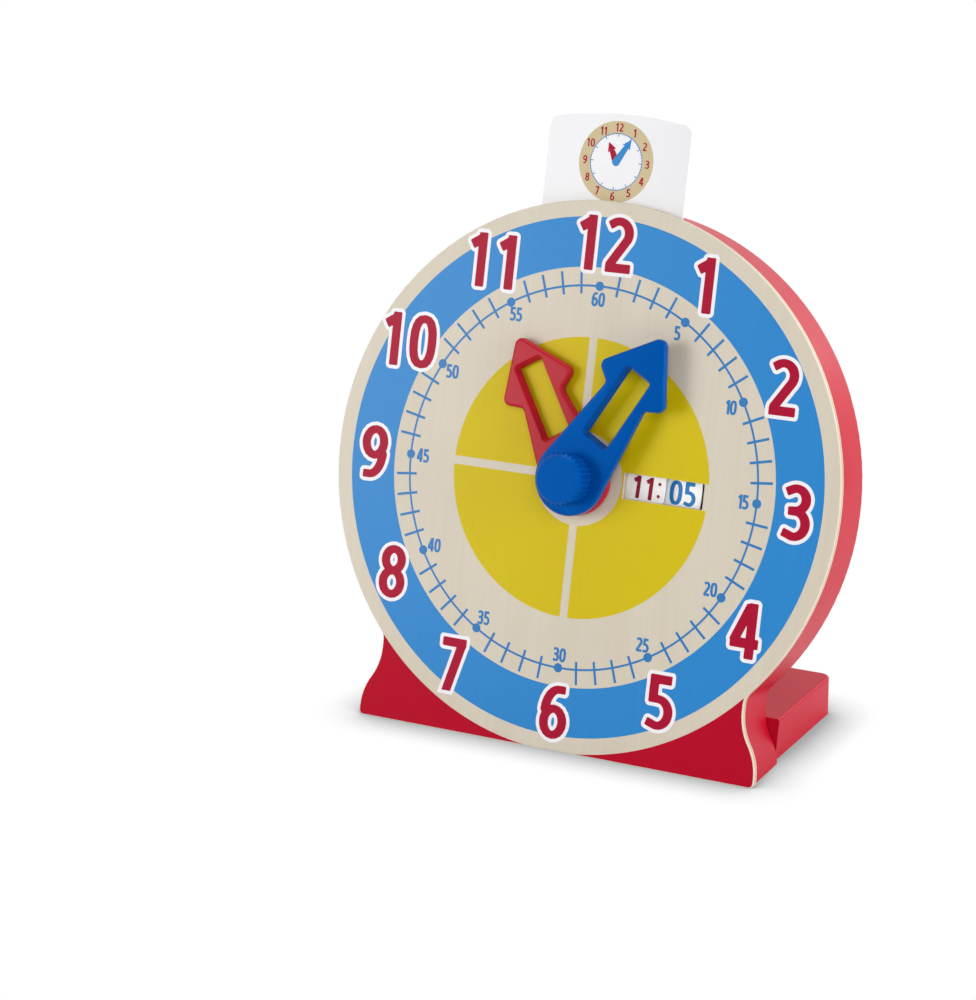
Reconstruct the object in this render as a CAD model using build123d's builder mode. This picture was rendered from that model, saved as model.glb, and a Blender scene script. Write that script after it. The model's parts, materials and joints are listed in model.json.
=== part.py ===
from build123d import *
import os
from math import acos, atan2, cos, degrees, hypot, pi, radians, sin, sqrt, tan

os.makedirs("parts", exist_ok=True)

# A teaching clock: a leaning round dial on a flared foot, with geared hands, a number window and a card.
# Millimetres and degrees. +Z is up, the dial faces -Y, and Z = 0 is the table.

# Case
DISC_RADIUS = 145.0
FLOOR_TRIM = 0.5
LEAN = 14.0
PANEL_THICKNESS = 4.0
PANEL_SOFTENING = 0.4
CASE_DEPTH = 38.0
FRAME_INSET = 1.5
RING_WIDTH = 35.0
REAR_ROUND = 2.5

# Skirt that flares from the disc down to the table
NECK_SETBACK = 39.2
NECK_DROP = 6.85
NECK_RADIUS = 8.0
SKIRT_FLARE = 10.2
FLARE_RISE = 4.5
SKIRT_CORNER = 2.5
FLOOR_OVERRUN = 5.0

# Rear foot and its dowels
FOOT_REACH = 119.0
FOOT_HEIGHT = 21.5
FOOT_SETBACK = 4.0
FOOT_CORNER = 6.0
FOOT_SOFTENING = 1.5
DOWEL_RADIUS = 4.0
DOWEL_LENGTH = 30.0
DOWEL_SPACING = 56.0
DOWEL_COUNT = 4

# Back panel and its screws
BACK_THICKNESS = 3.0
BACK_LEDGE = 9.0
BACK_PLAY = 0.3
SCREW_COUNT = 6
SCREW_RADIUS = 1.5
SCREW_LENGTH = 12.0
SCREW_HEAD_RADIUS = 3.2
SCREW_HEAD_HEIGHT = 2.0
SCREW_DRIVE_WIDTH = 0.9
SCREW_DRIVE_LENGTH = 3.4
SCREW_DRIVE_DEPTH = 0.9

# Card and its slot
CARD_WIDTH = 81.0
CARD_HEIGHT = 60.0
CARD_THICKNESS = 1.0
CARD_ARCH = 4.0
CARD_CORNER = 5.0
CARD_PLAY = 0.3
CARD_SIDE_PLAY = 1.0
SLOT_DEPTH = 15.0

# Number window and number discs
WINDOW_START = 25.8
WINDOW_MARGIN = 5.2
WINDOW_HEIGHT = 13.5
WINDOW_DROP = 0.55
WINDOW_CORNER = 0.8
MINUTE_DISC_RADIUS = 66.0
DISC_THICKNESS = 0.8

# Hands, pointing at five past eleven, angles clockwise from twelve
HOUR_ANGLE = 329.3
MINUTE_ANGLE = 30.0
HUB_RADIUS = 19.5
HOUR_TIP = 82.6
HOUR_BARB = 52.0
HOUR_NECK = 45.3
HOUR_NECK_HALF = 12.4
HOUR_SLOT_END = 65.5
MINUTE_TIP = 91.6
MINUTE_BARB = 59.2
MINUTE_NECK = 53.0
MINUTE_NECK_HALF = 13.0
MINUTE_SLOT_END = 65.7
BARB_HALF = 22.9
SLOT_START = 25.7
SLOT_HALF = 6.5
SLOT_CORNER = 0.5
SLOT_FLARE = 2.0
SLOT_SOFTENING = 0.6
TIP_ROUND = 4.0
BARB_ROUND = 4.0
NECK_ROUND = 3.0
HAND_SOFTENING = 1.8
HAND_WALL = 1.8
HOUR_HAND_LIFT = 2.4
HOUR_HAND_THICKNESS = 4.1
MINUTE_HAND_THICKNESS = 4.4
HUB_BOSS_WALL = 3.0

# Washer between the hands, and the knob
WASHER_THICKNESS = 2.4
WASHER_RADIUS = 9.0
WASHER_PLAY = 0.1
KNOB_RADIUS = 13.6
KNOB_HEIGHT = 12.5
KNOB_BEVEL = 1.8
KNOB_SOFTENING = 0.4
KNOB_RIBS = 30
KNOB_GROOVE = 0.8
KNOB_ROOF = 4.0

# Arbor, tube, bush and bearing
ARBOR_RADIUS = 3.0
ARBOR_FLAT = 2.4
PIVOT_RADIUS = 2.2
TUBE_RADIUS = 5.0
TUBE_FLAT = 4.4
BUSH_RADIUS = 8.0
BUSH_FLANGE_RADIUS = 12.0
BUSH_FLANGE = 0.8
BUSH_PROUD = 0.2
BEARING_RADIUS = 6.5
BEARING_LENGTH = 8.0
BEARING_FLANGE_RADIUS = 14.0
BEARING_FLANGE = 2.0
BEARING_FLOOR = 1.5
RUNNING = 0.05
SEAT = 0.03

# Gear train: cannon pinion to intermediate wheel, intermediate pinion to hour wheel
CANNON_TEETH = 15
INTERMEDIATE_TEETH = 45
PINION_TEETH = 12
HOUR_TEETH = 48
PRESSURE_ANGLE = 25.0
FLANK_GAP = 0.3
DEDENDUM = 1.25
GEAR_THICKNESS = 2.0
WHEEL_ROOM = 15.5
PANEL_GAP = 0.5
LAYER_GAP = 0.4
STUD_RADIUS = 2.5
STUD_CLEARANCE = 2.6
STUD_SCREW_RADIUS = 1.2
STUD_SCREW_BITE = 3.0
STUD_HEAD_RADIUS = 4.0
STUD_HEAD_HEIGHT = 0.7
STUD_HEAD_PLAY = 0.3
COLLAR_RADIUS = 9.0
COLLAR_HEIGHT = 3.0
WHEEL_RIM = 4.0
WHEEL_HUB = 14.0
WHEEL_SPOKE = 2.5
LIGHTENING_HOLES = 6

# What follows from those sizes
DIAL_RISE = DISC_RADIUS - FLOOR_TRIM
NECK_HALF = DISC_RADIUS - NECK_SETBACK
SKIRT_HALF = NECK_HALF + SKIRT_FLARE
FOOT_HALF = SKIRT_HALF - FOOT_SETBACK
CAVITY_RADIUS = DISC_RADIUS - RING_WIDTH
BACK_RADIUS = CAVITY_RADIUS + BACK_LEDGE
SCREW_CIRCLE = CAVITY_RADIUS + BACK_LEDGE / 2
BACK_FRONT = CASE_DEPTH - BACK_THICKNESS
SLOT_FLOOR = DISC_RADIUS - SLOT_DEPTH
WINDOW_END = MINUTE_DISC_RADIUS + WINDOW_MARGIN
WINDOW_MIDDLE = (WINDOW_START + WINDOW_END) / 2
WHEEL_SPAN = 2 * (INTERMEDIATE_TEETH / 2 + 1) / (CANNON_TEETH + INTERMEDIATE_TEETH)
GEAR_CENTRES = (CAVITY_RADIUS - WHEEL_ROOM) / (1 + WHEEL_SPAN)
GEAR_MODULE = 2 * GEAR_CENTRES / (CANNON_TEETH + INTERMEDIATE_TEETH)
HOUR_DISC_RADIUS = GEAR_CENTRES - STUD_RADIUS - STUD_CLEARANCE

# Layers behind the face, as depths from it
HOUR_DISC_FRONT = PANEL_THICKNESS + PANEL_GAP
HOUR_WHEEL_FRONT = HOUR_DISC_FRONT + DISC_THICKNESS
HOUR_WHEEL_BACK = HOUR_WHEEL_FRONT + GEAR_THICKNESS
INTERMEDIATE_FRONT = HOUR_WHEEL_BACK + LAYER_GAP
INTERMEDIATE_BACK = INTERMEDIATE_FRONT + GEAR_THICKNESS
MINUTE_DISC_FRONT = INTERMEDIATE_BACK + LAYER_GAP
MINUTE_DISC_BACK = MINUTE_DISC_FRONT + DISC_THICKNESS
COLLAR_BACK = MINUTE_DISC_BACK + COLLAR_HEIGHT
BEARING_FRONT = BACK_FRONT - BEARING_LENGTH

# Layers in front of the face, as heights above it
HOUR_HAND_FRONT = HOUR_HAND_LIFT + HOUR_HAND_THICKNESS
MINUTE_HAND_BACK = HOUR_HAND_FRONT + WASHER_THICKNESS + 2 * WASHER_PLAY
MINUTE_HAND_FRONT = MINUTE_HAND_BACK + MINUTE_HAND_THICKNESS
KNOB_FRONT = MINUTE_HAND_FRONT + KNOB_HEIGHT
ARBOR_FRONT = KNOB_FRONT - KNOB_ROOF

# The leaning face, with its origin at the dial's centre, +X to the right and +Y up the face
LEAN_SIN = sin(radians(LEAN))
LEAN_COS = cos(radians(LEAN))
FRONT_Y = -FOOT_REACH / 2
OUTWARD = Vector(0, -LEAN_COS, LEAN_SIN)
DIAL_CENTRE = Vector(0, FRONT_Y + DIAL_RISE * LEAN_SIN, DIAL_RISE * LEAN_COS)
FACE = Plane(origin=DIAL_CENTRE, x_dir=(1, 0, 0), z_dir=OUTWARD)
FACE_AXIS = Axis(DIAL_CENTRE, OUTWARD)
STUD_CENTRE = DIAL_CENTRE - Vector(GEAR_CENTRES, 0, 0)
STUD_AXIS = Axis(STUD_CENTRE, OUTWARD)


def behind(depth):
    """Plane parallel to the face, this far behind it."""
    return FACE.offset(-depth)


def hand_plane(height, angle):
    """Plane this far in front of the face, turned so that +Y points along a hand."""
    across = FACE.x_dir * cos(radians(angle)) - FACE.y_dir * sin(radians(angle))
    return Plane(origin=DIAL_CENTRE + OUTWARD * height, x_dir=across, z_dir=OUTWARD)


def turning_plane(centre):
    """Plane through a shaft's axis: X is the radius and Y the height in front of the face."""
    return Plane(origin=centre, x_dir=(1, 0, 0), z_dir=(0, -LEAN_SIN, -LEAN_COS))


def front_face(part):
    return part.faces().sort_by(FACE_AXIS)[-1]


def rear_face(part):
    return part.faces().sort_by(FACE_AXIS)[0]


def case_outline(overrun):
    """Disc and flared skirt in one outline, running on this far below the face's bottom edge."""
    neck = Vector(NECK_HALF, -sqrt(DISC_RADIUS**2 - NECK_HALF**2) - NECK_DROP)
    flare = Vector(SKIRT_HALF, -DIAL_RISE + FLARE_RISE)
    below = -DIAL_RISE - overrun
    with BuildSketch() as outline:
        with BuildLine():
            Polyline((0, 0), (NECK_HALF, 0), neck)
            TangentArc(neck, (neck + flare) / 2, tangent=(0, -1))
            TangentArc(flare, (neck + flare) / 2, tangent=(0, 1))
            Polyline(flare, (SKIRT_HALF, below), (0, below))
            mirror(about=Plane.YZ)
        make_face()
        fillet(outline.vertices().group_by(Axis.Y)[0], SKIRT_CORNER)
        Circle(DISC_RADIUS)
        with Locations((0, below)):
            Rectangle(2 * DISC_RADIUS, DISC_RADIUS, align=(Align.CENTER, Align.MAX), mode=Mode.SUBTRACT)
        on_disc = outline.vertices().filter_by(lambda v: abs(hypot(v.X, v.Y) - DISC_RADIUS) < 0.01)
        fillet(on_disc.sort_by(Axis.Y)[:2], NECK_RADIUS)
    return outline.sketch


def beyond_flat(radius, flat):
    """Bar that cuts one flat on a shaft, above its axis."""
    with BuildSketch() as bar:
        with Locations((0, flat)):
            Rectangle(4 * radius, 2 * radius, align=(Align.CENTER, Align.MIN))
    return bar.sketch


def beyond_two_flats(radius, flat):
    """Bars that cut two flats on a shaft, above and below its axis."""
    with BuildSketch() as bars:
        Rectangle(4 * radius, 4 * radius)
        Rectangle(4 * radius, 2 * flat, mode=Mode.SUBTRACT)
    return bars.sketch


def d_section(radius, flat):
    """Round section with one flat."""
    with BuildSketch() as section:
        Circle(radius)
        with Locations((0, flat)):
            Rectangle(2 * radius, radius, align=(Align.CENTER, Align.MIN), mode=Mode.SUBTRACT)
    return section.sketch


def double_d_section(radius, flat):
    """Round section with two flats."""
    with BuildSketch() as section:
        Circle(radius)
        Rectangle(2 * radius, 2 * flat, mode=Mode.INTERSECT)
    return section.sketch


def slot_outline(slot_end, margin):
    """Outline of a hand's slot, wider all round by a margin."""
    width = 2 * (SLOT_HALF + margin)
    length = slot_end - SLOT_START + 2 * margin
    with BuildSketch() as outline:
        with Locations((0, (SLOT_START + slot_end) / 2)):
            RectangleRounded(width, length, SLOT_CORNER + margin)
    return outline.sketch


def hand_outline(tip, barb, neck, neck_half):
    """Arrow hand pointing along +Y, with its hub at the origin."""
    hub_turn = 90 + degrees(atan2(neck, neck_half) - acos(HUB_RADIUS / hypot(neck, neck_half)))
    with BuildSketch() as outline:
        with BuildLine():
            hub = CenterArc((0, 0), HUB_RADIUS, -90, hub_turn)
            Polyline(hub @ 1, (neck_half, neck), (BARB_HALF, barb), (0, tip))
            mirror(about=Plane.YZ)
        make_face()
        fillet(outline.vertices().sort_by(Axis.Y)[-1], TIP_ROUND)
        fillet(outline.vertices().group_by(Axis.X)[0], BARB_ROUND)
        fillet(outline.vertices().group_by(Axis.X)[-1], BARB_ROUND)
        at_neck = outline.vertices().filter_by(lambda v: abs(v.Y - neck) < 0.01)
        fillet(at_neck, NECK_ROUND)
    return outline.sketch


def gear_outline(teeth, first_tooth):
    """Spur gear with involute flanks; first_tooth is the angle of one tooth's middle, in radians."""
    pitch_radius = GEAR_MODULE * teeth / 2
    tip_radius = pitch_radius + GEAR_MODULE
    root_radius = pitch_radius - DEDENDUM * GEAR_MODULE
    base_radius = pitch_radius * cos(radians(PRESSURE_ANGLE))
    step = 2 * pi / teeth
    thinning = FLANK_GAP / cos(radians(PRESSURE_ANGLE)) / 2
    half_tooth = step / 4 - thinning / pitch_radius

    def involute(radius):
        roll = acos(min(1.0, base_radius / radius))
        return tan(roll) - roll

    def half_angle(radius):
        return half_tooth + involute(pitch_radius) - involute(radius)

    def point(radius, angle):
        return Vector(radius * cos(angle), radius * sin(angle))

    def flank(middle, side):
        return [point(r, middle + side * half_angle(r)) for r in (root_radius, pitch_radius, tip_radius)]

    with BuildSketch() as outline:
        with BuildLine():
            for tooth in range(teeth):
                middle = first_tooth + tooth * step
                rising = flank(middle, -1)
                falling = flank(middle, 1)
                following = flank(middle + step, -1)
                ThreePointArc(*rising)
                Line(rising[-1], falling[-1])
                ThreePointArc(*falling)
                ThreePointArc(falling[0], point(root_radius, middle + step / 2), following[0])
        make_face()
    return outline.sketch


PANEL_OUTLINE = case_outline(0)
FRAME_OUTLINE = case_outline(FLOOR_OVERRUN)
ARBOR_SEAT = d_section(ARBOR_RADIUS + SEAT, ARBOR_FLAT + SEAT)
TUBE_SEAT = double_d_section(TUBE_RADIUS + SEAT, TUBE_FLAT + SEAT)
ARBOR_FLAT_CUT = beyond_flat(ARBOR_RADIUS, ARBOR_FLAT)
TUBE_FLAT_CUT = beyond_two_flats(TUBE_RADIUS, TUBE_FLAT)

# Front panel: one board of plywood for the dial and the skirt
with BuildPart() as front_panel:
    with BuildSketch(behind(PANEL_THICKNESS)):
        add(PANEL_OUTLINE)
        Circle(BUSH_RADIUS + SEAT, mode=Mode.SUBTRACT)
        with Locations((WINDOW_MIDDLE, -WINDOW_DROP)):
            RectangleRounded(WINDOW_END - WINDOW_START, WINDOW_HEIGHT, WINDOW_CORNER, mode=Mode.SUBTRACT)
    extrude(amount=PANEL_THICKNESS)
    fillet(front_face(front_panel).outer_wire().edges(), PANEL_SOFTENING)
    with BuildSketch(behind(PANEL_THICKNESS)):
        with Locations((-GEAR_CENTRES, 0)):
            Circle(STUD_SCREW_RADIUS + SEAT)
    extrude(amount=STUD_SCREW_BITE, mode=Mode.SUBTRACT)
    split(bisect_by=Plane.XY, keep=Keep.TOP)
front_panel.part.label = "front_panel"
export_step(front_panel.part, "parts/front_panel.step")

# Heights up the face of the foot's middle, where its dowels go
FOOT_FLOOR = -DIAL_RISE + CASE_DEPTH * LEAN_SIN / LEAN_COS
DOWEL_LEVEL = FOOT_FLOOR + FOOT_HEIGHT / LEAN_COS / 2

# Case frame: thick ring and skirt behind the panel, with a rebate, a card slot and holes for the fixings
with BuildPart() as case_frame:
    with BuildSketch(behind(CASE_DEPTH)):
        add(FRAME_OUTLINE)
        offset(amount=-FRAME_INSET, mode=Mode.REPLACE)
        Circle(CAVITY_RADIUS, mode=Mode.SUBTRACT)
    extrude(amount=CASE_DEPTH - PANEL_THICKNESS)
    fillet(rear_face(case_frame).outer_wire().edges(), REAR_ROUND)
    with BuildSketch(behind(CASE_DEPTH)):
        Circle(BACK_RADIUS + BACK_PLAY)
    extrude(amount=BACK_THICKNESS, mode=Mode.SUBTRACT)
    with BuildSketch(behind(CASE_DEPTH)):
        with PolarLocations(SCREW_CIRCLE, SCREW_COUNT):
            Circle(SCREW_RADIUS + SEAT)
    extrude(amount=SCREW_LENGTH + SEAT, mode=Mode.SUBTRACT)
    with BuildSketch(behind(CASE_DEPTH)):
        with Locations((0, DOWEL_LEVEL)):
            with GridLocations(DOWEL_SPACING, 0, DOWEL_COUNT, 1):
                Circle(DOWEL_RADIUS + SEAT)
    extrude(amount=DOWEL_LENGTH / 2 + SEAT, mode=Mode.SUBTRACT)
    with BuildSketch(behind(PANEL_THICKNESS)):
        with Locations((0, SLOT_FLOOR)):
            Rectangle(CARD_WIDTH + 2 * CARD_SIDE_PLAY, DISC_RADIUS, align=(Align.CENTER, Align.MIN))
    extrude(amount=-(CARD_THICKNESS + 2 * CARD_PLAY), mode=Mode.SUBTRACT)
    split(bisect_by=Plane.XY, keep=Keep.TOP)
case_frame.part.label = "case_frame"
export_step(case_frame.part, "parts/case_frame.step")

# Rear foot: a board that fits against the leaning back of the frame
FOOT_START = FRONT_Y + CASE_DEPTH / LEAN_COS
FOOT_TOP_START = FOOT_START + FOOT_HEIGHT * LEAN_SIN / LEAN_COS
with BuildPart() as rear_foot:
    with BuildSketch(Plane.YZ):
        with BuildLine():
            Polyline(
                (FOOT_START, 0),
                (FRONT_Y + FOOT_REACH, 0),
                (FRONT_Y + FOOT_REACH, FOOT_HEIGHT),
                (FOOT_TOP_START, FOOT_HEIGHT),
                close=True,
            )
        make_face()
    extrude(amount=FOOT_HALF, both=True)
    fillet(rear_foot.edges().filter_by(Axis.Z).group_by(Axis.Y)[-1], FOOT_CORNER)
    top_rim = rear_foot.faces().sort_by(Axis.Z)[-1].edges().sort_by(Axis.Y)[1:]
    fillet(top_rim, FOOT_SOFTENING)
    with BuildSketch(behind(CASE_DEPTH)):
        with Locations((0, DOWEL_LEVEL)):
            with GridLocations(DOWEL_SPACING, 0, DOWEL_COUNT, 1):
                Circle(DOWEL_RADIUS + SEAT)
    extrude(amount=-(DOWEL_LENGTH / 2 + SEAT), mode=Mode.SUBTRACT)
rear_foot.part.label = "rear_foot"
export_step(rear_foot.part, "parts/rear_foot.step")

# Dowels: half in the frame and half in the foot
with BuildPart() as foot_dowels:
    with BuildSketch(behind(CASE_DEPTH)):
        with Locations((0, DOWEL_LEVEL)):
            with GridLocations(DOWEL_SPACING, 0, DOWEL_COUNT, 1):
                Circle(DOWEL_RADIUS)
    extrude(amount=DOWEL_LENGTH / 2, both=True)
foot_dowels.part.label = "foot_dowels"
export_step(foot_dowels.part, "parts/foot_dowels.step")

# Back panel: thin board that lies in the rebate
with BuildPart() as back_panel:
    with BuildSketch(behind(CASE_DEPTH)):
        Circle(BACK_RADIUS)
        with PolarLocations(SCREW_CIRCLE, SCREW_COUNT):
            Circle(SCREW_RADIUS + SEAT, mode=Mode.SUBTRACT)
    extrude(amount=BACK_THICKNESS)
back_panel.part.label = "back_panel"
export_step(back_panel.part, "parts/back_panel.step")

# Back panel screws: domed heads with a cross drive
with BuildPart() as back_panel_screws:
    with BuildSketch(behind(CASE_DEPTH)):
        with PolarLocations(SCREW_CIRCLE, SCREW_COUNT):
            Circle(SCREW_RADIUS)
    extrude(amount=SCREW_LENGTH)
    with BuildSketch(behind(CASE_DEPTH)):
        with PolarLocations(SCREW_CIRCLE, SCREW_COUNT):
            Circle(SCREW_HEAD_RADIUS)
    extrude(amount=-SCREW_HEAD_HEIGHT)
    heads = back_panel_screws.faces().group_by(FACE_AXIS)[0]
    fillet(heads.edges(), SCREW_HEAD_HEIGHT / 2)
    with BuildSketch(behind(CASE_DEPTH + SCREW_HEAD_HEIGHT)):
        with PolarLocations(SCREW_CIRCLE, SCREW_COUNT):
            Rectangle(SCREW_DRIVE_LENGTH, SCREW_DRIVE_WIDTH)
            Rectangle(SCREW_DRIVE_WIDTH, SCREW_DRIVE_LENGTH)
    extrude(amount=SCREW_DRIVE_DEPTH, mode=Mode.SUBTRACT)
back_panel_screws.part.label = "back_panel_screws"
export_step(back_panel_screws.part, "parts/back_panel_screws.step")

# Time card: arched top edge, standing in the slot behind the panel
CARD_FOOT = SLOT_FLOOR + CARD_PLAY
CARD_SHOULDER = CARD_FOOT + CARD_HEIGHT - CARD_ARCH
with BuildPart() as time_card:
    with BuildSketch(behind(PANEL_THICKNESS + CARD_PLAY + CARD_THICKNESS)) as card_sketch:
        with BuildLine():
            sides = Polyline(
                (-CARD_WIDTH / 2, CARD_SHOULDER),
                (-CARD_WIDTH / 2, CARD_FOOT),
                (CARD_WIDTH / 2, CARD_FOOT),
                (CARD_WIDTH / 2, CARD_SHOULDER),
            )
            ThreePointArc(sides @ 1, (0, CARD_FOOT + CARD_HEIGHT), sides @ 0)
        make_face()
        fillet(card_sketch.vertices(), CARD_CORNER)
    extrude(amount=CARD_THICKNESS)
time_card.part.label = "time_card"
export_step(time_card.part, "parts/time_card.step")

# Centre bush: flange on the dial, barrel through the panel
with BuildPart() as centre_bush:
    with BuildSketch(turning_plane(DIAL_CENTRE)):
        with BuildLine():
            Polyline(
                (TUBE_RADIUS + RUNNING, BUSH_FLANGE),
                (BUSH_FLANGE_RADIUS, BUSH_FLANGE),
                (BUSH_FLANGE_RADIUS, 0),
                (BUSH_RADIUS, 0),
                (BUSH_RADIUS, -PANEL_THICKNESS - BUSH_PROUD),
                (TUBE_RADIUS + RUNNING, -PANEL_THICKNESS - BUSH_PROUD),
                close=True,
            )
        make_face()
    revolve(axis=FACE_AXIS)
centre_bush.part.label = "centre_bush"
export_step(centre_bush.part, "parts/centre_bush.step")

# Hour tube: round in the bush, with two flats where the hand and the wheel sit
with BuildPart() as hour_tube:
    with BuildSketch(behind(HOUR_WHEEL_BACK)):
        Circle(TUBE_RADIUS)
        Circle(ARBOR_RADIUS + RUNNING, mode=Mode.SUBTRACT)
    extrude(amount=HOUR_WHEEL_BACK + HOUR_HAND_FRONT)
    with BuildSketch(behind(-HOUR_HAND_LIFT)):
        add(TUBE_FLAT_CUT)
    extrude(amount=HOUR_HAND_THICKNESS, mode=Mode.SUBTRACT)
    with BuildSketch(behind(HOUR_WHEEL_BACK)):
        add(TUBE_FLAT_CUT)
    extrude(amount=HOUR_WHEEL_BACK - HOUR_DISC_FRONT, mode=Mode.SUBTRACT)
hour_tube.part.label = "hour_tube"
export_step(hour_tube.part, "parts/hour_tube.step")

# Minute arbor: flats for the knob, hand, pinion and disc, and a pivot for the rear bearing
PIVOT_START = BEARING_FRONT - RUNNING
PIVOT_END = BACK_FRONT - BEARING_FLOOR - LAYER_GAP
with BuildPart() as minute_arbor:
    with BuildSketch(behind(PIVOT_START)):
        Circle(ARBOR_RADIUS)
    extrude(amount=PIVOT_START + ARBOR_FRONT)
    with BuildSketch(behind(-MINUTE_HAND_BACK)):
        add(ARBOR_FLAT_CUT)
    extrude(amount=ARBOR_FRONT - MINUTE_HAND_BACK, mode=Mode.SUBTRACT)
    with BuildSketch(behind(PIVOT_START)):
        add(ARBOR_FLAT_CUT)
    extrude(amount=PIVOT_START - INTERMEDIATE_FRONT, mode=Mode.SUBTRACT)
    with BuildSketch(behind(PIVOT_END)):
        Circle(PIVOT_RADIUS)
    extrude(amount=PIVOT_END - PIVOT_START)
minute_arbor.part.label = "minute_arbor"
export_step(minute_arbor.part, "parts/minute_arbor.step")

# Rear bearing: closed boss on a flange against the back panel
with BuildPart() as rear_bearing:
    with BuildSketch(turning_plane(DIAL_CENTRE)):
        with BuildLine():
            Polyline(
                (0, -BACK_FRONT),
                (BEARING_FLANGE_RADIUS, -BACK_FRONT),
                (BEARING_FLANGE_RADIUS, -BACK_FRONT + BEARING_FLANGE),
                (BEARING_RADIUS, -BACK_FRONT + BEARING_FLANGE),
                (BEARING_RADIUS, -BEARING_FRONT),
                (PIVOT_RADIUS + RUNNING, -BEARING_FRONT),
                (PIVOT_RADIUS + RUNNING, -BACK_FRONT + BEARING_FLOOR),
                (0, -BACK_FRONT + BEARING_FLOOR),
                close=True,
            )
        make_face()
    revolve(axis=FACE_AXIS)
rear_bearing.part.label = "rear_bearing"
export_step(rear_bearing.part, "parts/rear_bearing.step")

# Hour hand: moulded shell, open behind, with a boss on the tube's flats
HOUR_OUTLINE = hand_outline(HOUR_TIP, HOUR_BARB, HOUR_NECK, HOUR_NECK_HALF)
HOUR_SLOT_MOUTH = slot_outline(HOUR_SLOT_END, SLOT_FLARE)
HOUR_SLOT_WALL = slot_outline(HOUR_SLOT_END, HAND_WALL)
HOUR_SLOT_SLOPE = degrees(atan2(SLOT_FLARE, HOUR_HAND_THICKNESS))
with BuildPart() as hour_hand:
    with BuildSketch(hand_plane(HOUR_HAND_LIFT, HOUR_ANGLE)):
        add(HOUR_OUTLINE)
    extrude(amount=HOUR_HAND_THICKNESS)
    fillet(front_face(hour_hand).edges(), HAND_SOFTENING)
    with BuildSketch(hand_plane(HOUR_HAND_FRONT, HOUR_ANGLE)):
        add(HOUR_SLOT_MOUTH)
    extrude(amount=-HOUR_HAND_THICKNESS, taper=HOUR_SLOT_SLOPE, mode=Mode.SUBTRACT)
    fillet(front_face(hour_hand).inner_wires().edges(), SLOT_SOFTENING)
    with BuildSketch(hand_plane(HOUR_HAND_LIFT, HOUR_ANGLE)):
        add(HOUR_OUTLINE)
        offset(amount=-HAND_WALL, mode=Mode.REPLACE)
        add(HOUR_SLOT_WALL, mode=Mode.SUBTRACT)
        Circle(TUBE_RADIUS + HUB_BOSS_WALL, mode=Mode.SUBTRACT)
    extrude(amount=HOUR_HAND_THICKNESS - HAND_WALL, mode=Mode.SUBTRACT)
    with BuildSketch(behind(-HOUR_HAND_LIFT)):
        add(TUBE_SEAT)
    extrude(amount=HOUR_HAND_THICKNESS, mode=Mode.SUBTRACT)
hour_hand.part.label = "hour_hand"
export_step(hour_hand.part, "parts/hour_hand.step")

# Washer between the hands
with BuildPart() as hand_washer:
    with BuildSketch(behind(-HOUR_HAND_FRONT - WASHER_PLAY)):
        Circle(WASHER_RADIUS)
        Circle(ARBOR_RADIUS + SEAT, mode=Mode.SUBTRACT)
    extrude(amount=WASHER_THICKNESS)
hand_washer.part.label = "hand_washer"
export_step(hand_washer.part, "parts/hand_washer.step")

# Minute hand: moulded shell, open behind, with a boss on the arbor's flat
MINUTE_OUTLINE = hand_outline(MINUTE_TIP, MINUTE_BARB, MINUTE_NECK, MINUTE_NECK_HALF)
MINUTE_SLOT_MOUTH = slot_outline(MINUTE_SLOT_END, SLOT_FLARE)
MINUTE_SLOT_WALL = slot_outline(MINUTE_SLOT_END, HAND_WALL)
MINUTE_SLOT_SLOPE = degrees(atan2(SLOT_FLARE, MINUTE_HAND_THICKNESS))
with BuildPart() as minute_hand:
    with BuildSketch(hand_plane(MINUTE_HAND_BACK, MINUTE_ANGLE)):
        add(MINUTE_OUTLINE)
    extrude(amount=MINUTE_HAND_THICKNESS)
    fillet(front_face(minute_hand).edges(), HAND_SOFTENING)
    with BuildSketch(hand_plane(MINUTE_HAND_FRONT, MINUTE_ANGLE)):
        add(MINUTE_SLOT_MOUTH)
    extrude(amount=-MINUTE_HAND_THICKNESS, taper=MINUTE_SLOT_SLOPE, mode=Mode.SUBTRACT)
    fillet(front_face(minute_hand).inner_wires().edges(), SLOT_SOFTENING)
    with BuildSketch(hand_plane(MINUTE_HAND_BACK, MINUTE_ANGLE)):
        add(MINUTE_OUTLINE)
        offset(amount=-HAND_WALL, mode=Mode.REPLACE)
        add(MINUTE_SLOT_WALL, mode=Mode.SUBTRACT)
        Circle(WASHER_RADIUS, mode=Mode.SUBTRACT)
    extrude(amount=MINUTE_HAND_THICKNESS - HAND_WALL, mode=Mode.SUBTRACT)
    with BuildSketch(behind(-MINUTE_HAND_BACK)):
        add(ARBOR_SEAT)
    extrude(amount=MINUTE_HAND_THICKNESS, mode=Mode.SUBTRACT)
minute_hand.part.label = "minute_hand"
export_step(minute_hand.part, "parts/minute_hand.step")

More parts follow.
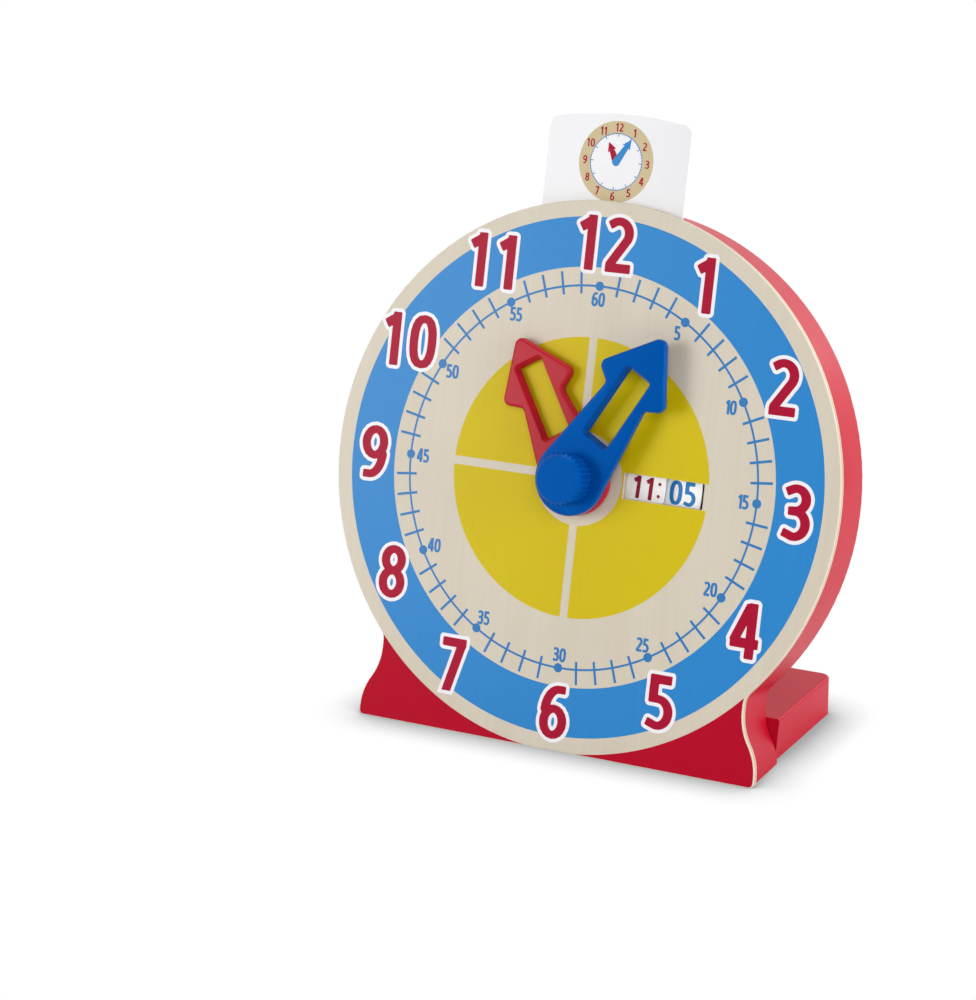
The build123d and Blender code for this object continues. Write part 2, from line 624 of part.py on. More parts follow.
# Knob: bevelled front, grooves round its side and a blind hole on the arbor's flat
with BuildPart() as knob:
    with BuildSketch(turning_plane(DIAL_CENTRE)):
        with BuildLine():
            Polyline(
                (0, KNOB_FRONT),
                (0, MINUTE_HAND_FRONT),
                (KNOB_RADIUS, MINUTE_HAND_FRONT),
                (KNOB_RADIUS, KNOB_FRONT - KNOB_BEVEL),
                (KNOB_RADIUS - KNOB_BEVEL, KNOB_FRONT),
                close=True,
            )
        make_face()
    revolve(axis=FACE_AXIS)
    fillet(front_face(knob).edges(), KNOB_SOFTENING)
    with BuildSketch(behind(-MINUTE_HAND_FRONT)):
        with PolarLocations(KNOB_RADIUS, KNOB_RIBS):
            Circle(KNOB_GROOVE)
    extrude(amount=KNOB_HEIGHT, mode=Mode.SUBTRACT)
    with BuildSketch(behind(-MINUTE_HAND_FRONT)):
        add(ARBOR_SEAT)
    extrude(amount=ARBOR_FRONT + SEAT - MINUTE_HAND_FRONT, mode=Mode.SUBTRACT)
knob.part.label = "knob"
export_step(knob.part, "parts/knob.step")


def pierced_wheel(outline, rim_radius):
    """Wheel with a ring of round holes between its rim and its hub, and a spoke between each two."""
    hole_circle = (rim_radius + WHEEL_HUB) / 2
    room_across = (rim_radius - WHEEL_HUB) / 2
    room_along = hole_circle * sin(pi / LIGHTENING_HOLES) - WHEEL_SPOKE / 2
    with BuildSketch() as pierced:
        add(outline)
        with PolarLocations(hole_circle, LIGHTENING_HOLES):
            Circle(min(room_across, room_along), mode=Mode.SUBTRACT)
    return pierced.sketch


# Hour number disc, in front of its wheel
with BuildPart() as hour_number_disc:
    with BuildSketch(behind(HOUR_WHEEL_FRONT)):
        Circle(HOUR_DISC_RADIUS)
        add(TUBE_SEAT, mode=Mode.SUBTRACT)
    extrude(amount=DISC_THICKNESS)
hour_number_disc.part.label = "hour_number_disc"
export_step(hour_number_disc.part, "parts/hour_number_disc.step")

# Hour wheel
HOUR_ROOT = GEAR_MODULE * (HOUR_TEETH / 2 - DEDENDUM)
HOUR_GEAR = pierced_wheel(gear_outline(HOUR_TEETH, pi), HOUR_ROOT - WHEEL_RIM)
with BuildPart() as hour_wheel:
    with BuildSketch(behind(HOUR_WHEEL_BACK)):
        add(HOUR_GEAR)
        add(TUBE_SEAT, mode=Mode.SUBTRACT)
    extrude(amount=GEAR_THICKNESS)
hour_wheel.part.label = "hour_wheel"
export_step(hour_wheel.part, "parts/hour_wheel.step")

# Cannon pinion, reaching back to the minute disc
CANNON_GEAR = gear_outline(CANNON_TEETH, pi)
with BuildPart() as cannon_pinion:
    with BuildSketch(behind(MINUTE_DISC_FRONT)):
        add(CANNON_GEAR)
        add(ARBOR_SEAT, mode=Mode.SUBTRACT)
    extrude(amount=MINUTE_DISC_FRONT - INTERMEDIATE_FRONT)
cannon_pinion.part.label = "cannon_pinion"
export_step(cannon_pinion.part, "parts/cannon_pinion.step")

# Minute number disc, behind its pinion
with BuildPart() as minute_number_disc:
    with BuildSketch(behind(MINUTE_DISC_BACK)):
        Circle(MINUTE_DISC_RADIUS)
        add(ARBOR_SEAT, mode=Mode.SUBTRACT)
    extrude(amount=DISC_THICKNESS)
minute_number_disc.part.label = "minute_number_disc"
export_step(minute_number_disc.part, "parts/minute_number_disc.step")

# Collar that clamps the minute disc to its pinion
with BuildPart() as disc_collar:
    with BuildSketch(behind(COLLAR_BACK)):
        Circle(COLLAR_RADIUS)
        add(ARBOR_SEAT, mode=Mode.SUBTRACT)
    extrude(amount=COLLAR_HEIGHT)
disc_collar.part.label = "disc_collar"
export_step(disc_collar.part, "parts/disc_collar.step")

# Intermediate pinion, in mesh with the hour wheel
PINION_FRONT = HOUR_WHEEL_FRONT + LAYER_GAP
PINION_STEP = 2 * pi / PINION_TEETH
PINION_GEAR = gear_outline(PINION_TEETH, PINION_STEP / 2)
with BuildPart() as intermediate_pinion:
    with BuildSketch(behind(INTERMEDIATE_FRONT)):
        with Locations((-GEAR_CENTRES, 0)):
            add(PINION_GEAR)
            Circle(STUD_RADIUS + RUNNING, mode=Mode.SUBTRACT)
    extrude(amount=INTERMEDIATE_FRONT - PINION_FRONT)
intermediate_pinion.part.label = "intermediate_pinion"
export_step(intermediate_pinion.part, "parts/intermediate_pinion.step")

# Intermediate wheel, in mesh with the cannon pinion, with a recess for the stud's screw
WHEEL_STEP = 2 * pi / INTERMEDIATE_TEETH
INTERMEDIATE_ROOT = GEAR_MODULE * (INTERMEDIATE_TEETH / 2 - DEDENDUM)
INTERMEDIATE_GEAR = pierced_wheel(
    gear_outline(INTERMEDIATE_TEETH, WHEEL_STEP / 2), INTERMEDIATE_ROOT - WHEEL_RIM
)
STUD_BACK = INTERMEDIATE_BACK - STUD_HEAD_HEIGHT - STUD_HEAD_PLAY
with BuildPart() as intermediate_wheel:
    with BuildSketch(behind(INTERMEDIATE_BACK)):
        with Locations((-GEAR_CENTRES, 0)):
            add(INTERMEDIATE_GEAR)
            Circle(STUD_RADIUS + RUNNING, mode=Mode.SUBTRACT)
    extrude(amount=GEAR_THICKNESS)
    with BuildSketch(behind(INTERMEDIATE_BACK)):
        with Locations((-GEAR_CENTRES, 0)):
            Circle(STUD_HEAD_RADIUS + STUD_HEAD_PLAY)
    extrude(amount=STUD_HEAD_HEIGHT + 2 * STUD_HEAD_PLAY, mode=Mode.SUBTRACT)
intermediate_wheel.part.label = "intermediate_wheel"
export_step(intermediate_wheel.part, "parts/intermediate_wheel.step")

# Stud: a sleeve against the panel, on which the intermediate pair turns
with BuildPart() as gear_stud:
    with BuildSketch(turning_plane(STUD_CENTRE)):
        with BuildLine():
            Polyline(
                (STUD_SCREW_RADIUS + SEAT, -PANEL_THICKNESS),
                (STUD_HEAD_RADIUS, -PANEL_THICKNESS),
                (STUD_HEAD_RADIUS, -HOUR_DISC_FRONT),
                (STUD_RADIUS, -PINION_FRONT + LAYER_GAP / 2),
                (STUD_RADIUS, -STUD_BACK),
                (STUD_SCREW_RADIUS + SEAT, -STUD_BACK),
                close=True,
            )
        make_face()
    revolve(axis=STUD_AXIS)
gear_stud.part.label = "gear_stud"
export_step(gear_stud.part, "parts/gear_stud.step")

# Screw through the stud into the panel, its flat head in the wheel's recess
with BuildPart() as gear_stud_screw:
    with BuildSketch(turning_plane(STUD_CENTRE)):
        with BuildLine():
            Polyline(
                (0, -STUD_BACK - STUD_HEAD_HEIGHT),
                (STUD_HEAD_RADIUS, -STUD_BACK - STUD_HEAD_HEIGHT),
                (STUD_HEAD_RADIUS, -STUD_BACK),
                (STUD_SCREW_RADIUS, -STUD_BACK),
                (STUD_SCREW_RADIUS, -PANEL_THICKNESS + STUD_SCREW_BITE - SEAT),
                (0, -PANEL_THICKNESS + STUD_SCREW_BITE - SEAT),
                close=True,
            )
        make_face()
    revolve(axis=STUD_AXIS)
gear_stud_screw.part.label = "gear_stud_screw"
export_step(gear_stud_screw.part, "parts/gear_stud_screw.step")
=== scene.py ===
# %% [markdown]
# A wooden teaching clock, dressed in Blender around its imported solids.
#
# The solids come in at their true size and place, in metres, so nothing here moves or resizes them.
# What is left for Blender is everything that paint, ink, moulding and light add: grain and lacquer on the
# plywood, the printed dial, the numbers behind the window, the printed card and the studio around it all.

# %% Load the solids
import json
from math import acos, asin, degrees, radians, sqrt

import bmesh
import bpy
import numpy as np
from mathutils import Matrix, Quaternion, Vector


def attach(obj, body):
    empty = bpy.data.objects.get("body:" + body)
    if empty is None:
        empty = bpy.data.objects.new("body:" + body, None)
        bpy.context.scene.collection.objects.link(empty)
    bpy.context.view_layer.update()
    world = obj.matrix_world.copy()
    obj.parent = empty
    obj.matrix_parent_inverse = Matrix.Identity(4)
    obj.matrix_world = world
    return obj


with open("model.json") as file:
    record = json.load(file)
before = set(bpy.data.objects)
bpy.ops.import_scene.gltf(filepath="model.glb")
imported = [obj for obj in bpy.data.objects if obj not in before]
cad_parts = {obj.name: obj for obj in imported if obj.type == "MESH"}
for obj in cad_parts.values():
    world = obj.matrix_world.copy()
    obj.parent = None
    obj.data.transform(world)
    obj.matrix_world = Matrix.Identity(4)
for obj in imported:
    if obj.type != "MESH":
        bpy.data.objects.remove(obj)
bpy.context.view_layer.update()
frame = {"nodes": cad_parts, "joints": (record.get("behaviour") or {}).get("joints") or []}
nodes = frame["nodes"]
joints = {joint["name"]: joint for joint in frame["joints"]}

# %% [markdown]
# The dial leans back, so its print is easiest to draw on a flat sheet and then lay on the wood.
#
# The sheet's own axes are x to the right, y up the face and z out of the face, in millimetres from the
# centre of the hands. The joints already hold those directions: the hands turn about a line into the face,
# and the card slides straight up it. One matrix made from them carries any drawing to its place.

# %% The face as a drawing sheet
MM = 0.001
dial_centre = Vector(joints["minute_turn"]["pos_m"])
into_face = Vector(joints["minute_turn"]["axis"])
up_face = Vector(joints["card_lift"]["axis"])
LEAN = asin(up_face.y)

face_axes = Matrix((Vector((1, 0, 0)), up_face, -into_face)).transposed().to_4x4()
FACE = Matrix.Translation(dial_centre) @ face_axes @ Matrix.Scale(MM, 4)
print(f"the face leans back {degrees(LEAN):.1f} degrees")


def behind(depth):
    """The same sheet, a depth in millimetres behind the face."""
    return FACE @ Matrix.Translation((0, 0, -depth))


# %% [markdown]
# The camera stands where the photographer stood: to the right of the clock, a little above it, with a long
# lens. A long lens keeps the ring nearly elliptical and the two sides of the case almost parallel. The place
# was found by matching the printed circles, so it is written in the face's own millimetres.

# %% Camera
CAMERA_PLACE = Vector((645.0, 116.1, 1381.0))
CAMERA_AIM = Vector((-51.5, -18.5, 0.0))
CAMERA_ROLL = -0.456
CAMERA_LENS = 105.19
SENSOR_WIDE = 36.0

camera = bpy.data.objects.new("camera", bpy.data.cameras.new("camera"))
bpy.context.scene.collection.objects.link(camera)
camera.data.lens = CAMERA_LENS
camera.data.sensor_width = SENSOR_WIDE
camera.location = FACE @ CAMERA_PLACE
looking = FACE @ CAMERA_AIM - camera.location
camera.rotation_mode = "QUATERNION"
camera.rotation_quaternion = looking.to_track_quat("-Z", "Y") @ Quaternion((0, 0, 1), radians(CAMERA_ROLL))
bpy.context.scene.camera = camera
bpy.context.scene.view_settings.view_transform = "Standard"
print(f"camera {looking.length:.2f} m from its aim")

# %% [markdown]
# Every finish below is a small network of nodes. Two helpers keep the networks readable: one turns the sRGB
# colours that designers write into the linear values that the renderer mixes, and one adds a node together
# with its settings and links.

# %% Helpers for the finishes


def linear(colour):
    """An sRGB hex colour such as #C8172F as linear red, green, blue and alpha."""
    values = [int(colour[i:i + 2], 16) / 255 for i in (1, 3, 5)]
    return [v / 12.92 if v <= 0.04045 else ((v + 0.055) / 1.055) ** 2.4 for v in values] + [1.0]


def add(tree, kind, inputs=None, **settings):
    """Adds a node, sets its properties, and sets or links its inputs."""
    made = tree.nodes.new(kind)
    for name, value in settings.items():
        setattr(made, name, value)
    for socket, value in (inputs or {}).items():
        if isinstance(value, bpy.types.NodeSocket):
            tree.links.new(value, made.inputs[socket])
        else:
            made.inputs[socket].default_value = value
    return made


def new_finish(name):
    """An empty material, with coordinates turned so that x, depth and up follow the face, in metres."""
    made = bpy.data.materials.new(name)
    made.use_nodes = True
    made.node_tree.nodes.clear()
    place = add(made.node_tree, "ShaderNodeTexCoord")
    turned = {"Vector": place.outputs["Object"], "Rotation": (LEAN, 0, 0)}
    face = add(made.node_tree, "ShaderNodeMapping", turned)
    return made, made.node_tree, face.outputs["Vector"]


def per_mm(wide, deep, tall):
    """A mapping scale that makes one pattern step this many millimetres along each axis."""
    return (1 / (wide * MM), 1 / (deep * MM), 1 / (tall * MM))


print(f"a middle grey of #808080 is {linear('#808080')[0]:.3f} in linear light")

# %% [markdown]
# The panel is birch plywood under satin lacquer. Birch is pale and even, with fine fibres that run up the
# face and a faint broad figure from the rotary-cut veneer. On the cut edge the colour is pale at the front
# and darker further back, in bands that repeat with depth.
#
# Noise stretched along the fibre gives both the fine lines and the broad figure. The darker band needs only
# the depth behind the face, so the front stays pale without any mask.

# %% Birch plywood, satin lacquered
# One step of a pattern in millimetres across, into and up the face. Real fibres are finer than a render can
# show, so they are drawn wider.
FIBRE = (1.3, 1.3, 60.0)
FIGURE = (24.0, 24.0, 170.0)
# The depth step of the pale and dark bands on the cut edge in millimetres, and where a pale and dark pair
# starts and ends, in steps.
EDGE_BAND_STEP = 2.0
PAIR_STARTS = 0.25
PAIR_ENDS = 2.25
LACQUER_IOR = 1.5


def birch_plywood():
    """Pale wood with fine upright lines and a faint broad figure, darker further back on the cut edge."""
    finish, tree, face = new_finish("birch_plywood_satin_lacquer")
    fibre_place = add(tree, "ShaderNodeMapping", {"Vector": face, "Scale": per_mm(*FIBRE)})
    fibre = add(tree, "ShaderNodeTexNoise", {"Vector": fibre_place.outputs[0], "Scale": 1.0, "Detail": 3.0})
    figure_place = add(tree, "ShaderNodeMapping", {"Vector": face, "Scale": per_mm(*FIGURE)})
    figure = add(tree, "ShaderNodeTexNoise", {
        "Vector": figure_place.outputs[0], "Scale": 1.0, "Detail": 2.0, "Distortion": 0.6})
    pale = add(tree, "ShaderNodeMix", {
        0: figure.outputs["Fac"], 6: linear("#E0D8C8"), 7: linear("#D6CAB5")}, data_type="RGBA")
    fibre_share = add(tree, "ShaderNodeMapRange", {
        "Value": fibre.outputs["Fac"], "From Min": 0.35, "From Max": 0.75, "To Max": 0.16})
    grained = add(tree, "ShaderNodeMix", {
        0: fibre_share.outputs[0], 6: pale.outputs[2], 7: linear("#CDBC9E")}, data_type="RGBA")
    # The front veneer starts at the face itself, so the depth counts from there.
    apart = add(tree, "ShaderNodeSeparateXYZ", {"Vector": face})
    face_depth = dial_centre.dot(into_face)
    edge_band_turn = add(tree, "ShaderNodeMapRange", {
        "Value": apart.outputs["Y"], "From Min": face_depth + PAIR_STARTS * EDGE_BAND_STEP * MM,
        "From Max": face_depth + PAIR_ENDS * EDGE_BAND_STEP * MM, "To Max": 2 * np.pi}, clamp=False)
    edge_band_wave = add(tree, "ShaderNodeMath", {0: edge_band_turn.outputs[0]}, operation="COSINE")
    # Darker behind the front of the cut edge, in bands that repeat with depth.
    darker_behind_front = add(tree, "ShaderNodeMapRange", {
        "Value": edge_band_wave.outputs[0], "From Min": 0.1, "From Max": -0.5, "To Max": 0.55})
    colour = add(tree, "ShaderNodeMix", {
        0: darker_behind_front.outputs[0], 6: grained.outputs[2], 7: linear("#B08F60")}, data_type="RGBA")
    rough = add(tree, "ShaderNodeMapRange", {"Value": fibre.outputs["Fac"], "To Min": 0.36, "To Max": 0.44})
    bump = add(tree, "ShaderNodeBump", {
        "Height": fibre.outputs["Fac"], "Strength": 0.08, "Distance": 0.05 * MM})
    shader = add(tree, "ShaderNodeBsdfPrincipled", {
        "Base Color": colour.outputs[2], "Roughness": rough.outputs[0], "Normal": bump.outputs[0],
        "IOR": LACQUER_IOR, "Specular IOR Level": 0.32})
    add(tree, "ShaderNodeOutputMaterial", {"Surface": shader.outputs[0]})
    return finish


finishes = {"birch_plywood": birch_plywood()}
print("made", finishes["birch_plywood"].name)

# %% [markdown]
# The frame and the foot are wood under sprayed red enamel. Sprayed enamel flows almost flat but keeps a soft
# orange-peel ripple of a few millimetres, which breaks up the edge of every reflection. The ripple is bump;
# a second, much wider noise makes the red a little uneven, as a thin second coat does. The paint on the
# skirt was rolled on with the panel lying flat, so its red is the same but more matt.

# %% Red satin enamel on wood
# Steps of the ripple and of the uneven coat, in millimetres.
PEEL = 2.6
COAT_CLOUD = 45.0


def red_enamel(name, gloss):
    """A deep, even red whose reflections have slightly wavy edges."""
    finish, tree, face = new_finish(name)
    peel_place = add(tree, "ShaderNodeMapping", {"Vector": face, "Scale": per_mm(PEEL, PEEL, PEEL)})
    peel = add(tree, "ShaderNodeTexNoise", {"Vector": peel_place.outputs[0], "Scale": 1.0, "Detail": 1.0})
    cloud_place = add(tree, "ShaderNodeMapping", {
        "Vector": face, "Scale": per_mm(COAT_CLOUD, COAT_CLOUD, COAT_CLOUD)})
    cloud = add(tree, "ShaderNodeTexNoise", {"Vector": cloud_place.outputs[0], "Scale": 1.0, "Detail": 2.0})
    colour = add(tree, "ShaderNodeMix", {
        0: cloud.outputs["Fac"], 6: linear("#C20A2A"), 7: linear("#B8082A")}, data_type="RGBA")
    rough = add(tree, "ShaderNodeMapRange", {"Value": cloud.outputs["Fac"], "To Min": 0.30, "To Max": 0.42})
    bump = add(tree, "ShaderNodeBump", {
        "Height": peel.outputs["Fac"], "Strength": 0.12, "Distance": 0.10 * MM})
    shader = add(tree, "ShaderNodeBsdfPrincipled", {
        "Base Color": colour.outputs[2], "Roughness": rough.outputs[0], "Normal": bump.outputs[0],
        "IOR": LACQUER_IOR, "Specular IOR Level": gloss})
    add(tree, "ShaderNodeOutputMaterial", {"Surface": shader.outputs[0]})
    return finish


finishes["red_painted_wood"] = red_enamel("red_satin_enamel", 0.17)
SKIRT_ENAMEL = red_enamel("red_matt_enamel", 0.06)
print("made", finishes["red_painted_wood"].name, "and", SKIRT_ENAMEL.name)

# %% [markdown]
# The hands and the knob are injection-moulded ABS. The mould is polished with a fine grit, so the plastic is
# a satin gloss, with a faint texture and slow swirls where the melt flowed. ABS is coloured all through, so
# the red and the blue share one recipe and differ only in colour and gloss. The blue has a dense pigment
# close under its skin that colours the gloss too, so its flat faces stay deep. The red takes a weak white
# sheen.

# %% Moulded ABS
# Millimetres. Real mould grit is only a few hundredths wide, too fine to show, so it is drawn coarser.
MOULD_GRIT = 0.35
MELT_SWIRL = 14.0
ABS_IOR = 1.54


def moulded_abs(name, bright, deep, gloss, shine):
    """A smooth plastic with soft highlights and a colour that drifts a little between two tones."""
    finish, tree, face = new_finish(name)
    grit_place = add(tree, "ShaderNodeMapping", {
        "Vector": face, "Scale": per_mm(MOULD_GRIT, MOULD_GRIT, MOULD_GRIT)})
    grit = add(tree, "ShaderNodeTexNoise", {"Vector": grit_place.outputs[0], "Scale": 1.0, "Detail": 2.0})
    swirl_place = add(tree, "ShaderNodeMapping", {
        "Vector": face, "Scale": per_mm(MELT_SWIRL, MELT_SWIRL, MELT_SWIRL)})
    swirl = add(tree, "ShaderNodeTexNoise", {
        "Vector": swirl_place.outputs[0], "Scale": 1.0, "Detail": 2.0, "Distortion": 1.5})
    colour = add(tree, "ShaderNodeMix", {
        0: swirl.outputs["Fac"], 6: linear(bright), 7: linear(deep)}, data_type="RGBA")
    rough = add(tree, "ShaderNodeMapRange", {"Value": swirl.outputs["Fac"], "To Min": 0.18, "To Max": 0.24})
    bump = add(tree, "ShaderNodeBump", {
        "Height": grit.outputs["Fac"], "Strength": 0.08, "Distance": 0.02 * MM})
    shader = add(tree, "ShaderNodeBsdfPrincipled", {
        "Base Color": colour.outputs[2], "Roughness": rough.outputs[0], "Normal": bump.outputs[0],
        "IOR": ABS_IOR, "Specular IOR Level": gloss, "Specular Tint": linear(shine)})
    add(tree, "ShaderNodeOutputMaterial", {"Surface": shader.outputs[0]})
    return finish


finishes["red_abs"] = moulded_abs("red_moulded_abs", "#C22031", "#BA1B2C", 0.10, "#FFFFFF")
finishes["blue_abs"] = moulded_abs("blue_moulded_abs", "#0052A6", "#004C9E", 0.30, "#008CFF")
print("made", finishes["red_abs"].name, "and", finishes["blue_abs"].name)

# %% [markdown]
# The small plastics are plainer. The number discs are white polystyrene sheet, smooth and slightly glossy.
# The bush, tube, washer and gears are natural acetal: off-white, waxy and a little see-through, which a
# touch of subsurface light gives. The card is printed board under a clear film, so it has a glossy coat over
# a matt core, with a trace of paper fibre.

# %% White plastics and laminated card
ROUGH_SPREAD = 0.05


def pale_sheet(name, light, shade, grain, roughness, extra):
    """A pale smooth sheet or moulding with a fine grain, and extra shader settings for what it is."""
    finish, tree, face = new_finish(name)
    grain_place = add(tree, "ShaderNodeMapping", {"Vector": face, "Scale": per_mm(grain, grain, grain)})
    specks = add(tree, "ShaderNodeTexNoise", {
        "Vector": grain_place.outputs[0], "Scale": 1.0, "Detail": 3.0})
    colour = add(tree, "ShaderNodeMix", {
        0: specks.outputs["Fac"], 6: linear(light), 7: linear(shade)}, data_type="RGBA")
    rough = add(tree, "ShaderNodeMapRange", {
        "Value": specks.outputs["Fac"], "To Min": roughness - ROUGH_SPREAD,
        "To Max": roughness + ROUGH_SPREAD})
    bump = add(tree, "ShaderNodeBump", {
        "Height": specks.outputs["Fac"], "Strength": 0.06, "Distance": 0.02 * MM})
    settings = {"Base Color": colour.outputs[2], "Roughness": rough.outputs[0], "Normal": bump.outputs[0]}
    shader = add(tree, "ShaderNodeBsdfPrincipled", {**settings, **extra})
    add(tree, "ShaderNodeOutputMaterial", {"Surface": shader.outputs[0]})
    return finish


acetal_glow = {"IOR": 1.48, "Subsurface Weight": 0.12, "Subsurface Scale": 1.5 * MM}
card_film = {"IOR": 1.5, "Coat Weight": 0.25, "Coat Roughness": 0.12, "Specular IOR Level": 0.3}
finishes["white_disc"] = pale_sheet(
    "white_polystyrene_sheet", "#FDFDFC", "#F9F9F8", 3.0, 0.35, {"IOR": 1.59})
finishes["acetal"] = pale_sheet(
    "natural_acetal_moulded", "#ECEAE2", "#E2DFD4", 5.0, 0.40, acetal_glow)
finishes["laminated_card"] = pale_sheet(
    "laminated_card_board", "#F7F7F9", "#F0F0F3", 0.6, 0.45, card_film)
print("made", [finishes[slot].name for slot in ("white_disc", "acetal", "laminated_card")])

# %% [markdown]
# Three finishes are seen from behind or not at all until the clock is opened. The back is smooth hardboard:
# pressed wood fibre, warm brown, with short pale and dark fibres lying every way. The screws and the arbor
# are zinc-plated steel, bright but never mirror-like. The dowels are beech, with its short dark flecks.

# %% Hardboard, zinc-plated steel and beech
# Steps in millimetres. Real plating grains are far finer than a render can show, so they are drawn coarser.
HARDBOARD_FIBRE = 1.1
PLATING_CLOUD = 1.6
BEECH_FLECK = (0.5, 3.0, 0.5)


def mottled(name, light, dark, step, low, high, extra):
    """Two colours mixed by a noise between two levels, for pressed, plated or flecked surfaces."""
    finish, tree, face = new_finish(name)
    step_place = add(tree, "ShaderNodeMapping", {"Vector": face, "Scale": per_mm(*step)})
    noise = add(tree, "ShaderNodeTexNoise", {
        "Vector": step_place.outputs[0], "Scale": 1.0, "Detail": 5.0, "Distortion": 0.8})
    share = add(tree, "ShaderNodeMapRange", {
        "Value": noise.outputs["Fac"], "From Min": 0.35, "From Max": 0.68})
    colour = add(tree, "ShaderNodeMix", {
        0: share.outputs[0], 6: linear(light), 7: linear(dark)}, data_type="RGBA")
    rough = add(tree, "ShaderNodeMapRange", {"Value": share.outputs[0], "To Min": low, "To Max": high})
    bump = add(tree, "ShaderNodeBump", {
        "Height": noise.outputs["Fac"], "Strength": 0.15, "Distance": 0.06 * MM})
    settings = {"Base Color": colour.outputs[2], "Roughness": rough.outputs[0], "Normal": bump.outputs[0]}
    shader = add(tree, "ShaderNodeBsdfPrincipled", {**settings, **extra})
    add(tree, "ShaderNodeOutputMaterial", {"Surface": shader.outputs[0]})
    return finish


hardboard_step = (HARDBOARD_FIBRE, HARDBOARD_FIBRE, HARDBOARD_FIBRE)
plating_step = (PLATING_CLOUD, PLATING_CLOUD, PLATING_CLOUD)
finishes["hardboard"] = mottled(
    "smooth_hardboard", "#A57B52", "#7E5736", hardboard_step, 0.50, 0.65, {"IOR": 1.5})
finishes["zinc_steel"] = mottled(
    "zinc_plated_steel", "#D3D6D9", "#AEB4BA", plating_step, 0.24, 0.38, {"Metallic": 1.0})
finishes["beech"] = mottled("bare_beech", "#DDBB8C", "#B98E5D", BEECH_FLECK, 0.50, 0.60, {"IOR": 1.5})

for node in nodes.values():
    for slot in node.material_slots:
        slot.material = finishes[slot.material.name]
print("finishes on the solids:", sorted(finish.name for finish in finishes.values()))

# %% [markdown]
# The dial is screen printed: each colour is a thin film of ink that fills the wood's pores only partly, so a
# little of the grain still shows. One recipe makes every ink. It bends the light with the same fibre noise
# as the plywood, and lets the colour vary a trace along the grain. Lines and small figures have a deeper
# blue than the ring, because a thin film of the ring's blue would look washed out on pale wood. The crimson
# on the white hour disc is darker than on the dial, for the same reason.

# %% Screen-printing inks


def ink_on_wood(name, colour, worn, gloss=0.26):
    """An even film of colour that thins a little along the grain under it."""
    finish, tree, face = new_finish(name)
    fibre_place = add(tree, "ShaderNodeMapping", {"Vector": face, "Scale": per_mm(*FIBRE)})
    fibre = add(tree, "ShaderNodeTexNoise", {"Vector": fibre_place.outputs[0], "Scale": 1.0, "Detail": 3.0})
    thin = add(tree, "ShaderNodeMapRange", {
        "Value": fibre.outputs["Fac"], "From Min": 0.45, "From Max": 0.85, "To Max": 0.6})
    film = add(tree, "ShaderNodeMix", {
        0: thin.outputs[0], 6: linear(colour), 7: linear(worn)}, data_type="RGBA")
    rough = add(tree, "ShaderNodeMapRange", {"Value": fibre.outputs["Fac"], "To Min": 0.32, "To Max": 0.40})
    bump = add(tree, "ShaderNodeBump", {
        "Height": fibre.outputs["Fac"], "Strength": 0.06, "Distance": 0.04 * MM})
    shader = add(tree, "ShaderNodeBsdfPrincipled", {
        "Base Color": film.outputs[2], "Roughness": rough.outputs[0], "Normal": bump.outputs[0],
        "IOR": LACQUER_IOR, "Specular IOR Level": gloss})
    add(tree, "ShaderNodeOutputMaterial", {"Surface": shader.outputs[0]})
    return finish


BLUE_INK = ink_on_wood("blue_screen_ink", "#1A85CE", "#2689CE")
LINE_INK = ink_on_wood("deep_blue_screen_ink", "#1F78BC", "#2A7EBE")
YELLOW_INK = ink_on_wood("yellow_screen_ink", "#DAC204", "#D6BE14", gloss=0.14)
RED_INK = ink_on_wood("crimson_screen_ink", "#AE0030", "#B20838", gloss=0.12)
DISC_INK = ink_on_wood("dark_crimson_screen_ink", "#93082E", "#981034", gloss=0.12)
WHITE_INK = ink_on_wood("white_screen_ink", "#FAF8FC", "#F4F2F6")
TAN_INK = ink_on_wood("tan_offset_ink", "#D2C197", "#CDBB90")
inks = (BLUE_INK, LINE_INK, YELLOW_INK, RED_INK, DISC_INK, WHITE_INK, TAN_INK)
print("inks:", [ink.name for ink in inks])

# %% [markdown]
# A print is drawn as a flat shape, which is a list of points and a list of faces, in millimetres. Simple
# helpers place and join such shapes. At the end each shape becomes a slab a few hundredths of a millimetre
# thick that sinks slightly into what it is printed on, so that it is a closed mesh and no two faces lie in
# the same plane.

# %% Flat shapes and printed slabs
INK_SINK = 0.02
INK_FILM = 0.03


def arc(radius, start, stop, steps=48):
    """Points on a circle about the centre, from start to stop degrees anticlockwise from the right."""
    turn = np.radians(np.linspace(start, stop, steps + 1))
    return [(radius * np.cos(t), radius * np.sin(t)) for t in turn]


def circle(radius, steps):
    """Evenly spaced points once round a circle, with none repeated."""
    return arc(radius, 0, 360 - 360 / steps, steps - 1)


def polygon(points):
    """A shape of one face."""
    return list(points), [tuple(range(len(points)))]


def band(inner, outer, steps=180):
    """A full ring of four-sided faces."""
    points = circle(inner, steps) + circle(outer, steps)
    after = [(i + 1) % steps for i in range(steps)]
    return points, [(i, steps + i, steps + after[i], after[i]) for i in range(steps)]


def placed(shape, x=0.0, y=0.0, scale=1.0, turn=0.0):
    """A shape scaled, turned anticlockwise by degrees about its own origin, and moved."""
    c, s = np.cos(radians(turn)) * scale, np.sin(radians(turn)) * scale
    return [(x + c * u - s * v, y + s * u + c * v) for u, v in shape[0]], shape[1]


def joined(shapes):
    """Several shapes as one."""
    points, faces = [], []
    for shape_points, shape_faces in shapes:
        faces += [tuple(i + len(points) for i in face) for face in shape_faces]
        points += shape_points
    return points, faces


